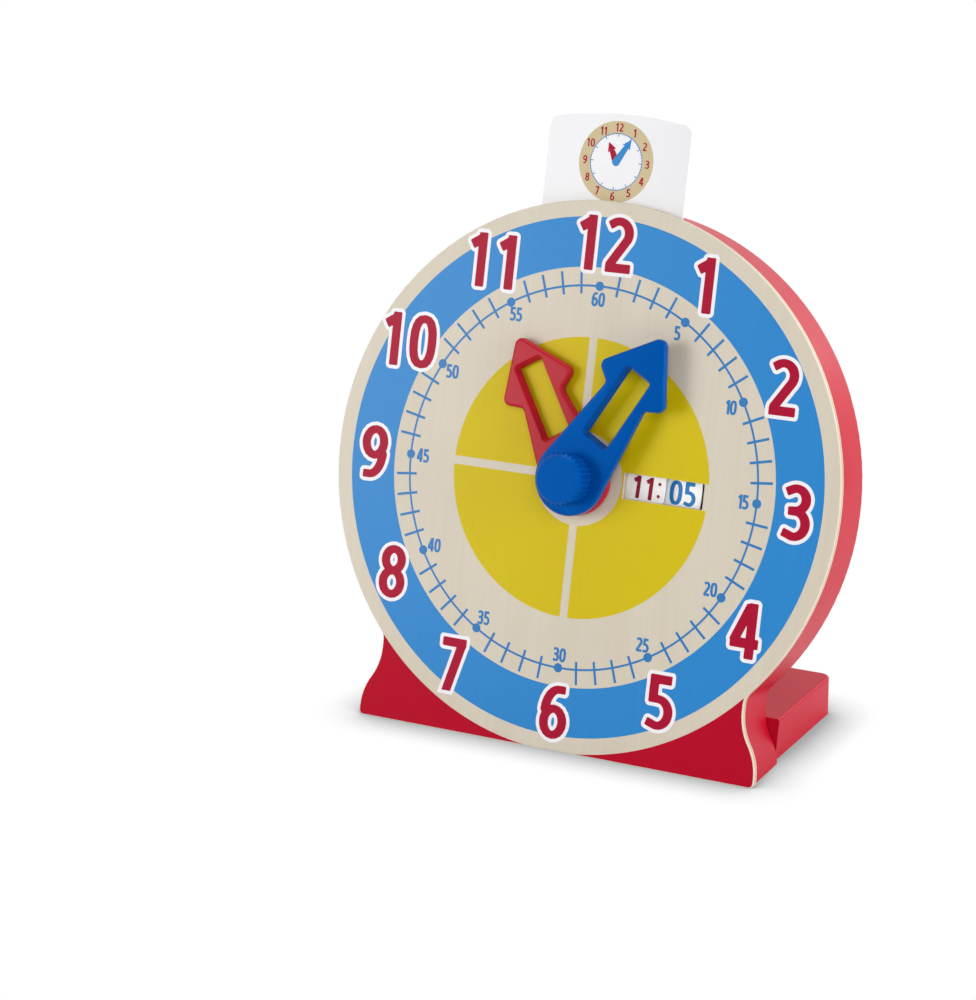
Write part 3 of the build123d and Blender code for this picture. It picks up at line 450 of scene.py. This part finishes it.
def printed(name, shape, sheet, ink, body, layer=1):
    """A shape as a closed film of ink on a sheet. A later layer lies on top of an earlier one."""
    points, faces = shape
    count = len(points)
    top = [(x, y, layer * INK_FILM) for x, y in points]
    bottom = [(x, y, -INK_SINK) for x, y in points]
    # An edge that only one face has lies on the outline, and gets a side wall.
    outline = {}
    for face in faces:
        for a, b in zip(face, face[1:] + face[:1]):
            if outline.pop((b, a), None) is None:
                outline[(a, b)] = True
    under = [tuple(count + i for i in reversed(face)) for face in faces]
    sides = [(a, count + a, count + b, b) for a, b in outline]
    mesh = bpy.data.meshes.new(name)
    mesh.from_pydata(top + bottom, [], list(faces) + under + sides)
    mesh.transform(sheet)
    mesh.materials.append(ink)
    mesh.validate()
    piece = bpy.data.objects.new(name, mesh)
    bpy.context.scene.collection.objects.link(piece)
    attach(piece, body)
    print(f"{name}: {len(mesh.polygons)} faces on {body}")
    return piece


# %% [markdown]
# The big areas come first: the blue hour ring and the yellow middle. The yellow is split by a bare cross,
# leaves a bare circle under the hub, and stops at the window on the right. Straight gaps with parallel
# sides cut the circles at slightly different angles, so each end of an arc is worked out from the gap's
# edge.

# %% Blue ring and yellow middle
RING_INNER = 110.3
RING_OUTER = 136.5
YELLOW_RADIUS = 73.8
HUB_RADIUS = 25.0
CROSS_GAP = 4.5
CROSS_X = -0.25
CROSS_Y = 0.5
WINDOW_LEFT = 25.8
WINDOW_TOP = 6.2
WINDOW_BOTTOM = -7.3
WINDOW_LIP = 0.1

gap_left = CROSS_X - CROSS_GAP / 2
gap_right = CROSS_X + CROSS_GAP / 2
gap_top = CROSS_Y + CROSS_GAP / 2
gap_bottom = CROSS_Y - CROSS_GAP / 2
yellow_top = WINDOW_TOP + WINDOW_LIP
yellow_bottom = WINDOW_BOTTOM - WINDOW_LIP
yellow_side = WINDOW_LEFT - WINDOW_LIP


def angle_at_x(x, radius):
    """Degrees from the right at which a circle reaches this far across."""
    return degrees(acos(x / radius))


def angle_at_y(y, radius):
    """Degrees from the right at which a circle reaches this far up."""
    return degrees(asin(y / radius))


right_half = polygon(
    arc(YELLOW_RADIUS, angle_at_y(yellow_top, YELLOW_RADIUS), angle_at_x(gap_right, YELLOW_RADIUS))
    + arc(HUB_RADIUS, angle_at_x(gap_right, HUB_RADIUS), -angle_at_x(gap_right, HUB_RADIUS))
    + arc(YELLOW_RADIUS, -angle_at_x(gap_right, YELLOW_RADIUS), angle_at_y(yellow_bottom, YELLOW_RADIUS))
    + [(yellow_side, yellow_bottom), (yellow_side, yellow_top)])
upper_left = polygon(
    arc(YELLOW_RADIUS, angle_at_x(gap_left, YELLOW_RADIUS), 180 - angle_at_y(gap_top, YELLOW_RADIUS))
    + arc(HUB_RADIUS, 180 - angle_at_y(gap_top, HUB_RADIUS), angle_at_x(gap_left, HUB_RADIUS)))
lower_left = polygon(
    arc(YELLOW_RADIUS, 180 - angle_at_y(gap_bottom, YELLOW_RADIUS),
        360 - angle_at_x(gap_left, YELLOW_RADIUS))
    + arc(HUB_RADIUS, 360 - angle_at_x(gap_left, HUB_RADIUS), 180 - angle_at_y(gap_bottom, HUB_RADIUS)))

printed("ring_print", band(RING_INNER, RING_OUTER), FACE, BLUE_INK, "case")
quadrants = joined([right_half, upper_left, lower_left])
printed("quadrant_print", quadrants, FACE, YELLOW_INK, "case")

# %% [markdown]
# The minute track is one thin circle with a dot at every fifth minute and a short stroke at the others.
# Each stroke is drawn in two parts that stop at the circle, so that the line and the strokes share no area.

# %% Minute track
TRACK_RADIUS = 100.6
TRACK_LINE = 1.1
DOT_RADIUS = 2.45
STROKE_INNER = 96.4
STROKE_OUTER = 108.6
STROKE_WIDE = 1.35
MINUTES = 60
MINUTE_STEP = 360 / MINUTES
DOT_EVERY = 5
DOT_SIDES = 36
TRACK_SIDES = 240

track_inner = TRACK_RADIUS - TRACK_LINE / 2
track_outer = TRACK_RADIUS + TRACK_LINE / 2


def bar(near, far, wide):
    """A straight bar out from the centre along the right-hand axis."""
    return polygon([(near, -wide / 2), (far, -wide / 2), (far, wide / 2), (near, wide / 2)])


stroke = joined([
    bar(STROKE_INNER, track_inner, STROKE_WIDE), bar(track_outer, STROKE_OUTER, STROKE_WIDE)])
strokes = [placed(stroke, turn=minute * MINUTE_STEP) for minute in range(MINUTES) if minute % DOT_EVERY]
track = joined([band(track_inner, track_outer, TRACK_SIDES)] + strokes)
dot = placed(polygon(circle(DOT_RADIUS, DOT_SIDES)), x=TRACK_RADIUS)
dots = joined([placed(dot, turn=minute * MINUTE_STEP) for minute in range(0, MINUTES, DOT_EVERY)])

printed("minute_track_print", track, FACE, LINE_INK, "case")
printed("minute_dot_print", dots, FACE, LINE_INK, "case", layer=1.5)

# %% [markdown]
# The figures are drawn as a sign painter draws them: a few strokes of one pen, with slightly softened
# corners, in a narrow upright style. Curves are a little thinner where they run level, which keeps loops
# open. A font would need an outside file, and the white border needs an outline at an even distance from the
# strokes, so the figures are made from a distance field instead.
#
# The field gives, at every point of a fine grid, the distance to the nearest stroke. Drawn as a hilly
# surface and cut by a level plane, it gives the figure; cut a little higher, it gives the border round it.

# %% Strokes of the figures
CAP_HEIGHT = 28.8
PEN_WIDE = 5.2
BOLD_PEN_WIDE = 6.2
PEN_ROUND = 0.7
PEN_CONTRAST = 0.17
CURVE_STEPS = 20


def curve(x, y, wide, high, start, stop, power=2.0):
    """Points on an ellipse, or on a squarer loop for a power above 2, from start to stop degrees."""
    turn = np.radians(np.linspace(start, stop, CURVE_STEPS + 1))
    c, s = np.cos(turn), np.sin(turn)
    across = x + wide * np.sign(c) * np.abs(c) ** (2 / power)
    up = y + high * np.sign(s) * np.abs(s) ** (2 / power)
    return list(zip(across, up))


# For each figure its width, and its strokes as lists of points, in millimetres from its lower left corner.
FIGURES = {
    "0": (15.5, [curve(7.75, 14.4, 5.55, 12.2, 0, 360, 2.5)]),
    "1": (9.1, [[(6.9, 0), (6.9, 28.8)], [(6.5, 25.7), (0.6, 22.0)]]),
    "2": (15.0, [[(0.9, 24.2)] + curve(6.4, 20.3, 5.9, 6.3, 120, -35) + [(2.4, 3.4)],
                 [(0.4, 2.2), (14.8, 2.2)]]),
    "3": (14.6, [[(0.6, 24.4)] + curve(6.2, 21.0, 5.4, 5.6, 118, -80) + [(2.4, 15.0)],
                 [(2.4, 15.0), (6.6, 15.0)] + curve(6.6, 8.6, 5.8, 6.4, 85, -115) + [(0.3, 4.1)]]),
    "4": (15.8, [[(11.2, 0), (11.2, 28.8)], [(10.0, 27.6), (2.0, 8.2)], [(0.2, 8.0), (15.8, 8.0)]]),
    "5": (14.5, [[(1.1, 26.6), (12.8, 26.6)], [(3.1, 28.7), (3.1, 14.0)],
                 [(3.1, 16.1), (6.2, 16.1)] + curve(6.4, 9.1, 5.9, 6.9, 90, -100) + [(0.3, 4.0)]]),
    "6": (15.2, [[(13.4, 26.6)] + curve(9.6, 14.4, 7.3, 12.2, 88, 180), curve(7.6, 9.2, 5.4, 7.0, 0, 360)]),
    "7": (14.4, [[(0, 26.6), (14.3, 26.6)], [(12.0, 27.0), (3.8, -3.0)]]),
    "8": (15.0, [curve(7.5, 20.9, 4.9, 5.75, 0, 360), curve(7.5, 8.55, 5.4, 6.4, 0, 360)]),
    ":": (5.0, [curve(2.5, 6.3, 0.3, 0.7, 0, 360), curve(2.5, 22.5, 0.3, 0.7, 0, 360)]),
}
six_wide, six_strokes = FIGURES["6"]
FIGURES["9"] = (six_wide, [[(six_wide - x, CAP_HEIGHT - y) for x, y in points] for points in six_strokes])
print("figures drawn:", "".join(sorted(FIGURES)))

# %% [markdown]
# A stroke with softened corners is a thin core with an even layer round it, so the distance to the core is
# found first and the layer taken off at the end. Inner corners of a bent stroke get a round joint. The
# figure is cut flat at its foot and at its top, so that numbers stand and end on straight lines.

# %% Distance field of a figure


def figure_distance(figure, x, y, pen):
    """Distance from each grid point to the edge of a figure drawn with a pen, negative inside it."""
    nearest = np.full(x.shape, np.inf)
    for points in FIGURES[figure][1]:
        points = np.array(points, float)
        closed = np.allclose(points[0], points[-1])
        last = len(points) - 2
        cores = []
        for i, (a, b) in enumerate(zip(points, points[1:])):
            length = np.hypot(*(b - a))
            along = (b - a) / length
            # A straight bar has the full pen. A curve is thinner where it runs level.
            level = along[0] ** 2 if last else 0.0
            core = pen * (1 - PEN_CONTRAST * level) / 2 - PEN_ROUND
            cores.append(core)
            # A free end is pulled back by the rounding, which then brings it out to its full length.
            near = PEN_ROUND if i == 0 and not closed else 0.0
            far = length - (PEN_ROUND if i == last and not closed else 0.0)
            u = (x - a[0]) * along[0] + (y - a[1]) * along[1]
            v = np.abs((y - a[1]) * along[0] - (x - a[0]) * along[1])
            past = np.maximum(near - u, u - far)
            beside = v - core
            outside = np.hypot(np.maximum(past, 0), np.maximum(beside, 0))
            nearest = np.minimum(nearest, outside + np.minimum(np.maximum(past, beside), 0))
        for i in range(0 if closed else 1, len(cores)):
            core = min(cores[i - 1], cores[i])
            nearest = np.minimum(nearest, np.hypot(x - points[i][0], y - points[i][1]) - core)
    return np.maximum(nearest - PEN_ROUND, np.maximum(-y, y - CAP_HEIGHT))


stem_foot = FIGURES["1"][1][0][0]
stem_middle = figure_distance("1", np.array([stem_foot[0]]), np.array([CAP_HEIGHT / 2]), PEN_WIDE)[0]
print(f"the middle of the 1 lies {-stem_middle:.1f} mm inside its edge")

# %% [markdown]
# The field becomes a shape on a grid. Only the cells that reach below the level are drawn, the plane cuts
# them off cleanly, and flat neighbours are melted together, so that a straight side keeps few points.

# %% Shapes cut from a field
WELD_PARTS = 50
MELT_TURN = 1.5


def cut_level(field, wide, high, margin, cell):
    """The flat shape where a field is below zero: its hilly surface cut off by a level plane."""
    xs = np.arange(-margin, wide + margin + cell, cell)
    ys = np.arange(-margin, high + margin + cell, cell)
    x, y = np.meshgrid(xs, ys)
    z = field(x, y)
    hill = bmesh.new()
    corners = {}

    def corner(row, column):
        if (row, column) not in corners:
            corners[row, column] = hill.verts.new((xs[column], ys[row], z[row, column]))
        return corners[row, column]

    lowest = np.minimum(np.minimum(z[:-1, :-1], z[1:, :-1]), np.minimum(z[:-1, 1:], z[1:, 1:]))
    for row, column in np.argwhere(lowest < 0):
        around = [(row, column), (row, column + 1), (row + 1, column + 1), (row + 1, column)]
        hill.faces.new([corner(*place) for place in around])
    whole = hill.verts[:] + hill.edges[:] + hill.faces[:]
    bmesh.ops.bisect_plane(hill, geom=whole, plane_co=(0, 0, 0), plane_no=(0, 0, 1), clear_outer=True)
    for vertex in hill.verts:
        vertex.co.z = 0
    bmesh.ops.remove_doubles(hill, verts=hill.verts, dist=cell / WELD_PARTS)
    bmesh.ops.dissolve_limit(hill, angle_limit=radians(MELT_TURN), verts=hill.verts, edges=hill.edges)
    hill.verts.index_update()
    shape = [(v.co.x, v.co.y) for v in hill.verts], [tuple(v.index for v in f.verts) for f in hill.faces]
    hill.free()
    return shape


def figure_shape(figure, cell, pen):
    """One figure, drawn on a grid with a pen."""
    def field(x, y):
        return figure_distance(figure, x, y, pen)

    return cut_level(field, FIGURES[figure][0], CAP_HEIGHT, 2 * cell, cell)


print("points in a coarse 8:", len(figure_shape("8", PEN_WIDE / 2, PEN_WIDE)[0]))

# %% [markdown]
# Three sets of figures cover every print: a fine one for the big hours, a coarser one for what is printed
# small, and a bold one, because the smallest print needs a heavier pen to read well.

# %% Figures as flat shapes
LARGE_CELL = 0.4
SMALL_CELL = 0.8


def figure_shapes(cell, pen):
    """Every figure, drawn on a grid with a pen."""
    return {figure: figure_shape(figure, cell, pen) for figure in FIGURES}


large_figures = figure_shapes(LARGE_CELL, PEN_WIDE)
small_figures = figure_shapes(SMALL_CELL, PEN_WIDE)
bold_figures = figure_shapes(SMALL_CELL, BOLD_PEN_WIDE)


def figure_starts(text, gap):
    """Where each figure of a number starts, and how wide the number is."""
    starts = []
    x = 0.0
    for figure in text:
        starts.append(x)
        x += FIGURES[figure][0] + gap
    return starts, x - gap


def number(text, gap, figures):
    """A number as one shape, centred on its own origin."""
    starts, wide = figure_starts(text, gap)
    shapes = [placed(figures[figure], x=start) for figure, start in zip(text, starts)]
    return placed(joined(shapes), x=-wide / 2, y=-CAP_HEIGHT / 2)


print("points in a large 8:", len(large_figures["8"][0]), "and in a small 8:", len(small_figures["8"][0]))

# %% [markdown]
# The twelve hours are crimson with an even white border that keeps them clear of the blue ring. They stand
# upright and sit by eye, a little off the true hour positions, so each has its own place. The border of a
# two-figure number is one shape, because the two fields are joined before the cut.

# %% Hour numbers and their borders
HOUR_GAP = 6.9
ELEVEN_GAP = 8.1
BORDER = 1.9
HOUR_PLACES = {
    "12": (0.8, 122.8), "1": (58.6, 107.0), "2": (108.2, 60.3), "3": (122.7, -1.6),
    "4": (102.2, -64.9), "5": (60.0, -109.2), "6": (0.3, -124.2), "7": (-62.1, -108.9),
    "8": (-104.3, -64.6), "9": (-123.1, -1.6), "10": (-108.4, 60.6), "11": (-64.2, 107.8),
}


def hour_gap(text, usual=HOUR_GAP):
    """The gap between the figures of an hour. Two narrow figures stand further apart."""
    return ELEVEN_GAP if text == "11" else usual


def border(text):
    """The border of a number, centred as the number is."""
    starts, wide = figure_starts(text, hour_gap(text))

    def field(x, y):
        each = [figure_distance(figure, x - start, y, PEN_WIDE) for figure, start in zip(text, starts)]
        return np.minimum.reduce(each) - BORDER

    shape = cut_level(field, wide, CAP_HEIGHT, BORDER + 2 * LARGE_CELL, LARGE_CELL)
    return placed(shape, x=-wide / 2, y=-CAP_HEIGHT / 2)


borders = joined([placed(border(text), *place) for text, place in HOUR_PLACES.items()])
hours = joined([
    placed(number(text, hour_gap(text), large_figures), *place) for text, place in HOUR_PLACES.items()])
printed("hour_border_print", borders, FACE, WHITE_INK, "case", layer=2)
printed("hour_number_print", hours, FACE, RED_INK, "case", layer=3)

# %% [markdown]
# The minute numbers use the same strokes at a quarter of the size and a little narrower, inside the track
# at the hour directions. They are wider than high, so they lie on a ring that is slightly less wide than
# high.

# %% Minute numbers on the dial
MINUTE_REACH_X = 93.2
MINUTE_REACH_Y = 93.7
MINUTE_SCALE = 0.257
MINUTE_NARROW = 0.87
MINUTE_GAP = 2.0
HOURS = 12
HOUR_STEP = 360 / HOURS


def at_hour(shape, hour, reach_x, reach_y, scale):
    """A shape scaled and moved, still upright, to the direction of an hour."""
    turn = radians(90 - HOUR_STEP * hour)
    return placed(shape, reach_x * np.cos(turn), reach_y * np.sin(turn), scale)


minute_numbers = []
for hour in range(1, HOURS + 1):
    points, faces = number(str(DOT_EVERY * hour), MINUTE_GAP, bold_figures)
    narrow = [(MINUTE_NARROW * x, y) for x, y in points], faces
    minute_numbers.append(at_hour(narrow, hour, MINUTE_REACH_X, MINUTE_REACH_Y, MINUTE_SCALE))
printed("minute_number_print", joined(minute_numbers), FACE, LINE_INK, "case")

# %% [markdown]
# The skirt below the dial is the same panel, painted red on its front only, so the edge of the plywood
# stays bare and shows as a pale line. The paint follows the panel's own outline: the rim of its front face
# is read from the solid, and the part outside the dial's circle is closed along that circle. The straight
# bottom edge has no point between its ends, so the one where it meets the circle is worked out.

# %% Paint on the skirt
DIAL_RADIUS = 145.0
PAINT_OVERLAP = 0.05
FLAT = 0.01

to_face = FACE.inverted()
panel_points = [to_face @ v.co for v in nodes["front_panel"].data.vertices]
rim = {(round(p.x, 3), round(p.y, 3)) for p in panel_points if abs(p.z) < FLAT}
skirt_rim = [p for p in rim if sqrt(p[0] ** 2 + p[1] ** 2) > DIAL_RADIUS + PAINT_OVERLAP]
low = min(y for x, y in rim)
meet = sqrt(DIAL_RADIUS ** 2 - low ** 2)
skirt_rim += [(meet, low), (-meet, low)]


def skirt_side(side):
    """The red area on one side of the dial: side is 1 for the right and -1 for the left."""
    def turn_of(p):
        return degrees(np.arctan2(p[1], side * p[0]))

    outline = sorted((p for p in skirt_rim if side * p[0] > 0), key=turn_of)
    inside = arc(DIAL_RADIUS, turn_of(outline[-1]), turn_of(outline[0]))[:-1]
    points = outline + [(side * x, y) for x, y in inside]
    return polygon(points if side > 0 else points[::-1])


skirt = joined([skirt_side(1), skirt_side(-1)])
printed("skirt_paint", skirt, FACE, SKIRT_ENAMEL, "case")

# %% [markdown]
# Behind the window two white discs turn: the smaller one in front carries the hours and a colon, the larger
# one behind it the minutes. A number comes to the window as its disc turns clockwise, so the next one waits
# thirty degrees further up. The hours sit slightly askew on their disc. Each print rides on the body of its
# own disc.

# %% Numbers on the window discs
SHOWN_HOUR = 11
SHOWN_MINUTE = 5
DISC_HOUR_SCALE = 0.413
DISC_HOUR_GAP = 5.2
DISC_HOUR_END = 40.45
DISC_HOUR_Y = 0.67
DISC_HOUR_TURN = -1.9
COLON_X = 44.25
COLON_Y = 3.21
COLON_DOT = 0.9
DISC_MINUTE_SCALE = 0.445
DISC_MINUTE_GAP = 2.8
DISC_MINUTE_PLACE = (55.3, -1.05)


def disc_depth(node_name):
    """How far behind the face the front of a disc lies, in millimetres."""
    return -max((to_face @ v.co).z for v in nodes[node_name].data.vertices)


colon_dot = polygon(circle(COLON_DOT, DOT_SIDES))
colon = [placed(colon_dot, COLON_X, y) for y in (COLON_Y, -COLON_Y)]
hour_shapes = []
minute_shapes = []
for step in range(HOURS):
    hour = str((SHOWN_HOUR + step - 1) % HOURS + 1)
    gap = hour_gap(hour, DISC_HOUR_GAP)
    wide = figure_starts(hour, gap)[1] * DISC_HOUR_SCALE
    figures = placed(number(hour, gap, small_figures), x=DISC_HOUR_END - wide / 2, scale=DISC_HOUR_SCALE)
    at_window = placed(joined([figures] + colon), y=DISC_HOUR_Y, turn=DISC_HOUR_TURN)
    hour_shapes.append(placed(at_window, turn=HOUR_STEP * step))
    minute = f"{(SHOWN_MINUTE + DOT_EVERY * step) % MINUTES:02d}"
    figures = number(minute, DISC_MINUTE_GAP, small_figures)
    at_window = placed(figures, *DISC_MINUTE_PLACE, DISC_MINUTE_SCALE)
    minute_shapes.append(placed(at_window, turn=HOUR_STEP * step))

hour_sheet = behind(disc_depth("hour_number_disc"))
minute_sheet = behind(disc_depth("minute_number_disc"))
printed("hour_window_print", joined(hour_shapes), hour_sheet, DISC_INK, "hour")
minute_print = printed(
    "minute_window_print", joined(minute_shapes), minute_sheet, LINE_INK, "minute")

# %% [markdown]
# The card shows the same time as a small dial: a tan ring with crimson hours, a thin blue circle with ticks
# and two arrow hands. Its other side gives the time in figures. Offset printing is far thinner than the
# drawn film, but neither is thick enough to show its edge.

# %% Print on the time card
CARD_X = -0.5
CARD_Y = 165.5
CARD_RING_OUTER = 21.2
CARD_RING_INNER = 14.9
CARD_LINE = 0.4
CARD_SIDES = 120
CARD_TICK = (1.5, 0.45)
CARD_FINE_TICK = (0.45, 0.2)
CARD_HOUR_CIRCLE = 17.9
CARD_HOUR_SCALE = 0.15
CARD_HOUR_GAP = 5.0
CARD_HOUR_HAND = 11.3
CARD_HOUR_TURN = 332.5
CARD_MINUTE_HAND = 14.2
CARD_MINUTE_TURN = 32.0
CARD_HUB = 2.2
CARD_HUB_TURN = (160, 380)
CARD_HUB_STEPS = 20
CARD_HEAD = 4.6
CARD_NECK_HALF = 1.4
CARD_BARB_HALF = 2.6
CARD_BARB_DROP = 0.4

card_depths = [-(to_face @ v.co).z for v in nodes["time_card"].data.vertices]
card_front = behind(min(card_depths)) @ Matrix.Translation((CARD_X, CARD_Y, 0))
half_round = Matrix.Rotation(np.pi, 4, "Y")
card_back = behind(max(card_depths)) @ Matrix.Translation((0, CARD_Y, 0)) @ half_round

circle_inner = CARD_RING_INNER - CARD_LINE
card_ticks = []
for minute in range(MINUTES):
    long, wide = CARD_FINE_TICK if minute % DOT_EVERY else CARD_TICK
    card_ticks.append(placed(bar(circle_inner - long, circle_inner, wide), turn=minute * MINUTE_STEP))
card_hours = []
for hour in range(1, HOURS + 1):
    shape = number(str(hour), CARD_HOUR_GAP, small_figures)
    card_hours.append(at_hour(shape, hour, CARD_HOUR_CIRCLE, CARD_HOUR_CIRCLE, CARD_HOUR_SCALE))


def card_hand(length, clock_turn):
    """A small arrow that widens from a round hub and points at an angle clockwise from the top."""
    neck = length - CARD_HEAD
    barb = neck - CARD_BARB_DROP
    right = [(CARD_NECK_HALF, neck), (CARD_BARB_HALF, barb)]
    left = [(-x, y) for x, y in reversed(right)]
    points = arc(CARD_HUB, *CARD_HUB_TURN, CARD_HUB_STEPS) + right + [(0, length)] + left
    return placed(polygon(points), turn=-clock_turn)


card_ring = band(CARD_RING_INNER, CARD_RING_OUTER)
card_scale = joined([band(circle_inner, CARD_RING_INNER, CARD_SIDES)] + card_ticks)
card_hour_hand = card_hand(CARD_HOUR_HAND, CARD_HOUR_TURN)
card_minute_hand = card_hand(CARD_MINUTE_HAND, CARD_MINUTE_TURN)
printed("card_ring_print", card_ring, card_front, TAN_INK, "card")
printed("card_scale_print", card_scale, card_front, LINE_INK, "card")
printed("card_hour_print", joined(card_hours), card_front, RED_INK, "card", layer=2)
printed("card_hour_hand_print", card_hour_hand, card_front, RED_INK, "card")
printed("card_minute_hand_print", card_minute_hand, card_front, BLUE_INK, "card", layer=2)

# %% [markdown]
# The back of the card gives the answer in figures, in the same two colours as the window: crimson for the
# hour and blue for the minutes. Its sheet is the front one turned half round, so the figures read from
# behind.

# %% Figures on the back of the card
BACK_SCALE = 0.6
BACK_GAP = 4.0

hour_text = f"{SHOWN_HOUR}:"
minute_text = f"{SHOWN_MINUTE:02d}"
back_starts, back_wide = figure_starts(hour_text + minute_text, BACK_GAP)
minute_start = back_starts[len(hour_text)]
colon_end = minute_start - BACK_GAP
hour_figures = number(hour_text, BACK_GAP, small_figures)
minute_figures = number(minute_text, BACK_GAP, small_figures)
back_hours = placed(hour_figures, x=BACK_SCALE * (colon_end - back_wide) / 2, scale=BACK_SCALE)
back_minutes = placed(minute_figures, x=BACK_SCALE * minute_start / 2, scale=BACK_SCALE)
printed("card_back_hour_print", back_hours, card_back, RED_INK, "card")
printed("card_back_minute_print", back_minutes, card_back, BLUE_INK, "card")

# %% [markdown]
# The studio is an even white room with six soft lamps. The left softbox lies where the lacquer mirrors it
# towards the camera, which gives the dial's left half its soft sheen. A fill beside the camera lights the
# front, and one far to the right lights the red side of the case. The top softbox draws the bright bevels on
# the hands, and a weak lamp behind lifts the foot and the back.
#
# The minute disc lies deepest behind the window, in the shade of the hour disc. A photographer would bounce
# light in with a small card. Here a lamp beside the camera is linked to that disc and its print alone.
#
# The lamps stay at a plain level, so that colours come out about as written. The background is white
# because camera, glossy and transmission rays see the room at a strength of one.

# %% Room and lamps
ROOM_LEVEL = 0.065
WHITE = (1, 1, 1, 1)
# Each lamp's place on the face's own axes in millimetres, its size in metres, and its watts.
LAMPS = {
    "left_softbox": ((-800.0, 60.0, 1040.0), 0.6, 6.7),
    "front_fill": ((680.0, 420.0, 1350.0), 0.7, 5.9),
    "right_fill": ((1300.0, 300.0, 120.0), 0.8, 11.0),
    "top_softbox": ((0.0, 1400.0, 0.0), 1.0, 10.0),
    "back_fill": ((700.0, 900.0, -1100.0), 0.8, 5.0),
    "window_bounce": ((620.0, 110.0, 1380.0), 0.3, 6.9),
}


def seen_directly(tree):
    """1 for camera, glossy and transmission rays, 0 for the rays that carry light to the object."""
    path = add(tree, "ShaderNodeLightPath")
    either = add(tree, "ShaderNodeMath", {
        0: path.outputs["Is Camera Ray"], 1: path.outputs["Is Glossy Ray"]}, operation="MAXIMUM")
    return add(tree, "ShaderNodeMath", {
        0: either.outputs[0], 1: path.outputs["Is Transmission Ray"]}, operation="MAXIMUM").outputs[0]


room = bpy.data.worlds.new("white_studio_room")
room.use_nodes = True
room.node_tree.nodes.clear()
lit = add(room.node_tree, "ShaderNodeBackground", {"Color": WHITE, "Strength": ROOM_LEVEL})
shown = add(room.node_tree, "ShaderNodeBackground", {"Color": WHITE, "Strength": 1.0})
both = add(room.node_tree, "ShaderNodeMixShader", {
    0: seen_directly(room.node_tree), 1: lit.outputs[0], 2: shown.outputs[0]})
add(room.node_tree, "ShaderNodeOutputWorld", {"Surface": both.outputs[0]})
bpy.context.scene.world = room


def softbox(name, place, size, watts):
    """A square soft lamp, aimed at the middle of the dial."""
    lamp = bpy.data.objects.new(name, bpy.data.lights.new(name, "AREA"))
    lamp.data.shape = "SQUARE"
    lamp.data.size = size
    lamp.data.energy = watts
    lamp.location = FACE @ Vector(place)
    lamp.rotation_mode = "QUATERNION"
    lamp.rotation_quaternion = (dial_centre - lamp.location).to_track_quat("-Z", "Y")
    bpy.context.scene.collection.objects.link(lamp)
    print(f"{name}: {watts} W at {(lamp.location - dial_centre).length:.2f} m")
    return lamp


lamps = {name: softbox(name, *settings) for name, settings in LAMPS.items()}
shaded_disc = bpy.data.collections.new("shaded_disc")
for piece in (nodes["minute_number_disc"], minute_print):
    shaded_disc.objects.link(piece)
lamps["window_bounce"].light_linking.receiver_collection = shaded_disc

# %% [markdown]
# The floor is a white paper sweep, where only the places close to the clock are darker. It sends light back
# as matt paper does. Seen directly it is plain white emission with a painted contact shadow: an occlusion
# node darkens it where the clock hides the part of the room that lies close by.

# %% White floor
FLOOR_HALF = 6.0
# The painted contact shadow: how far it looks for the clock in millimetres, and the occlusion that gives its
# darkest white.
CONTACT_REACH = 28.0
CONTACT_OPEN = 0.55
CONTACT_SHADE = 0.38

floor_mesh = bpy.data.meshes.new("floor")
floor_corners = [(-1, -1), (1, -1), (1, 1), (-1, 1)]
floor_mesh.from_pydata([(FLOOR_HALF * x, FLOOR_HALF * y, 0) for x, y in floor_corners], [], [(0, 1, 2, 3)])
floor = bpy.data.objects.new("floor", floor_mesh)
bpy.context.scene.collection.objects.link(floor)

paper, paper_tree, _ = new_finish("white_paper_sweep")
# Painted contact shadow: the white seen directly is darkened by occlusion, not by the lamps.
contact = add(paper_tree, "ShaderNodeAmbientOcclusion", {"Distance": CONTACT_REACH * MM})
level = add(paper_tree, "ShaderNodeMapRange", {
    "Value": contact.outputs["AO"], "From Min": CONTACT_OPEN, "To Min": CONTACT_SHADE})
paper_seen_with_painted_shadow = add(paper_tree, "ShaderNodeEmission", {"Color": WHITE, "Strength": level.outputs[0]})
matt_paper = add(paper_tree, "ShaderNodeBsdfDiffuse", {"Color": linear("#F2F2F2")})
paper_surface = add(paper_tree, "ShaderNodeMixShader", {
    0: seen_directly(paper_tree), 1: matt_paper.outputs[0], 2: paper_seen_with_painted_shadow.outputs[0]})
add(paper_tree, "ShaderNodeOutputMaterial", {"Surface": paper_surface.outputs[0]})
floor_mesh.materials.append(paper)
print(f"floor: {2 * FLOOR_HALF:.0f} m square, matt white paper")
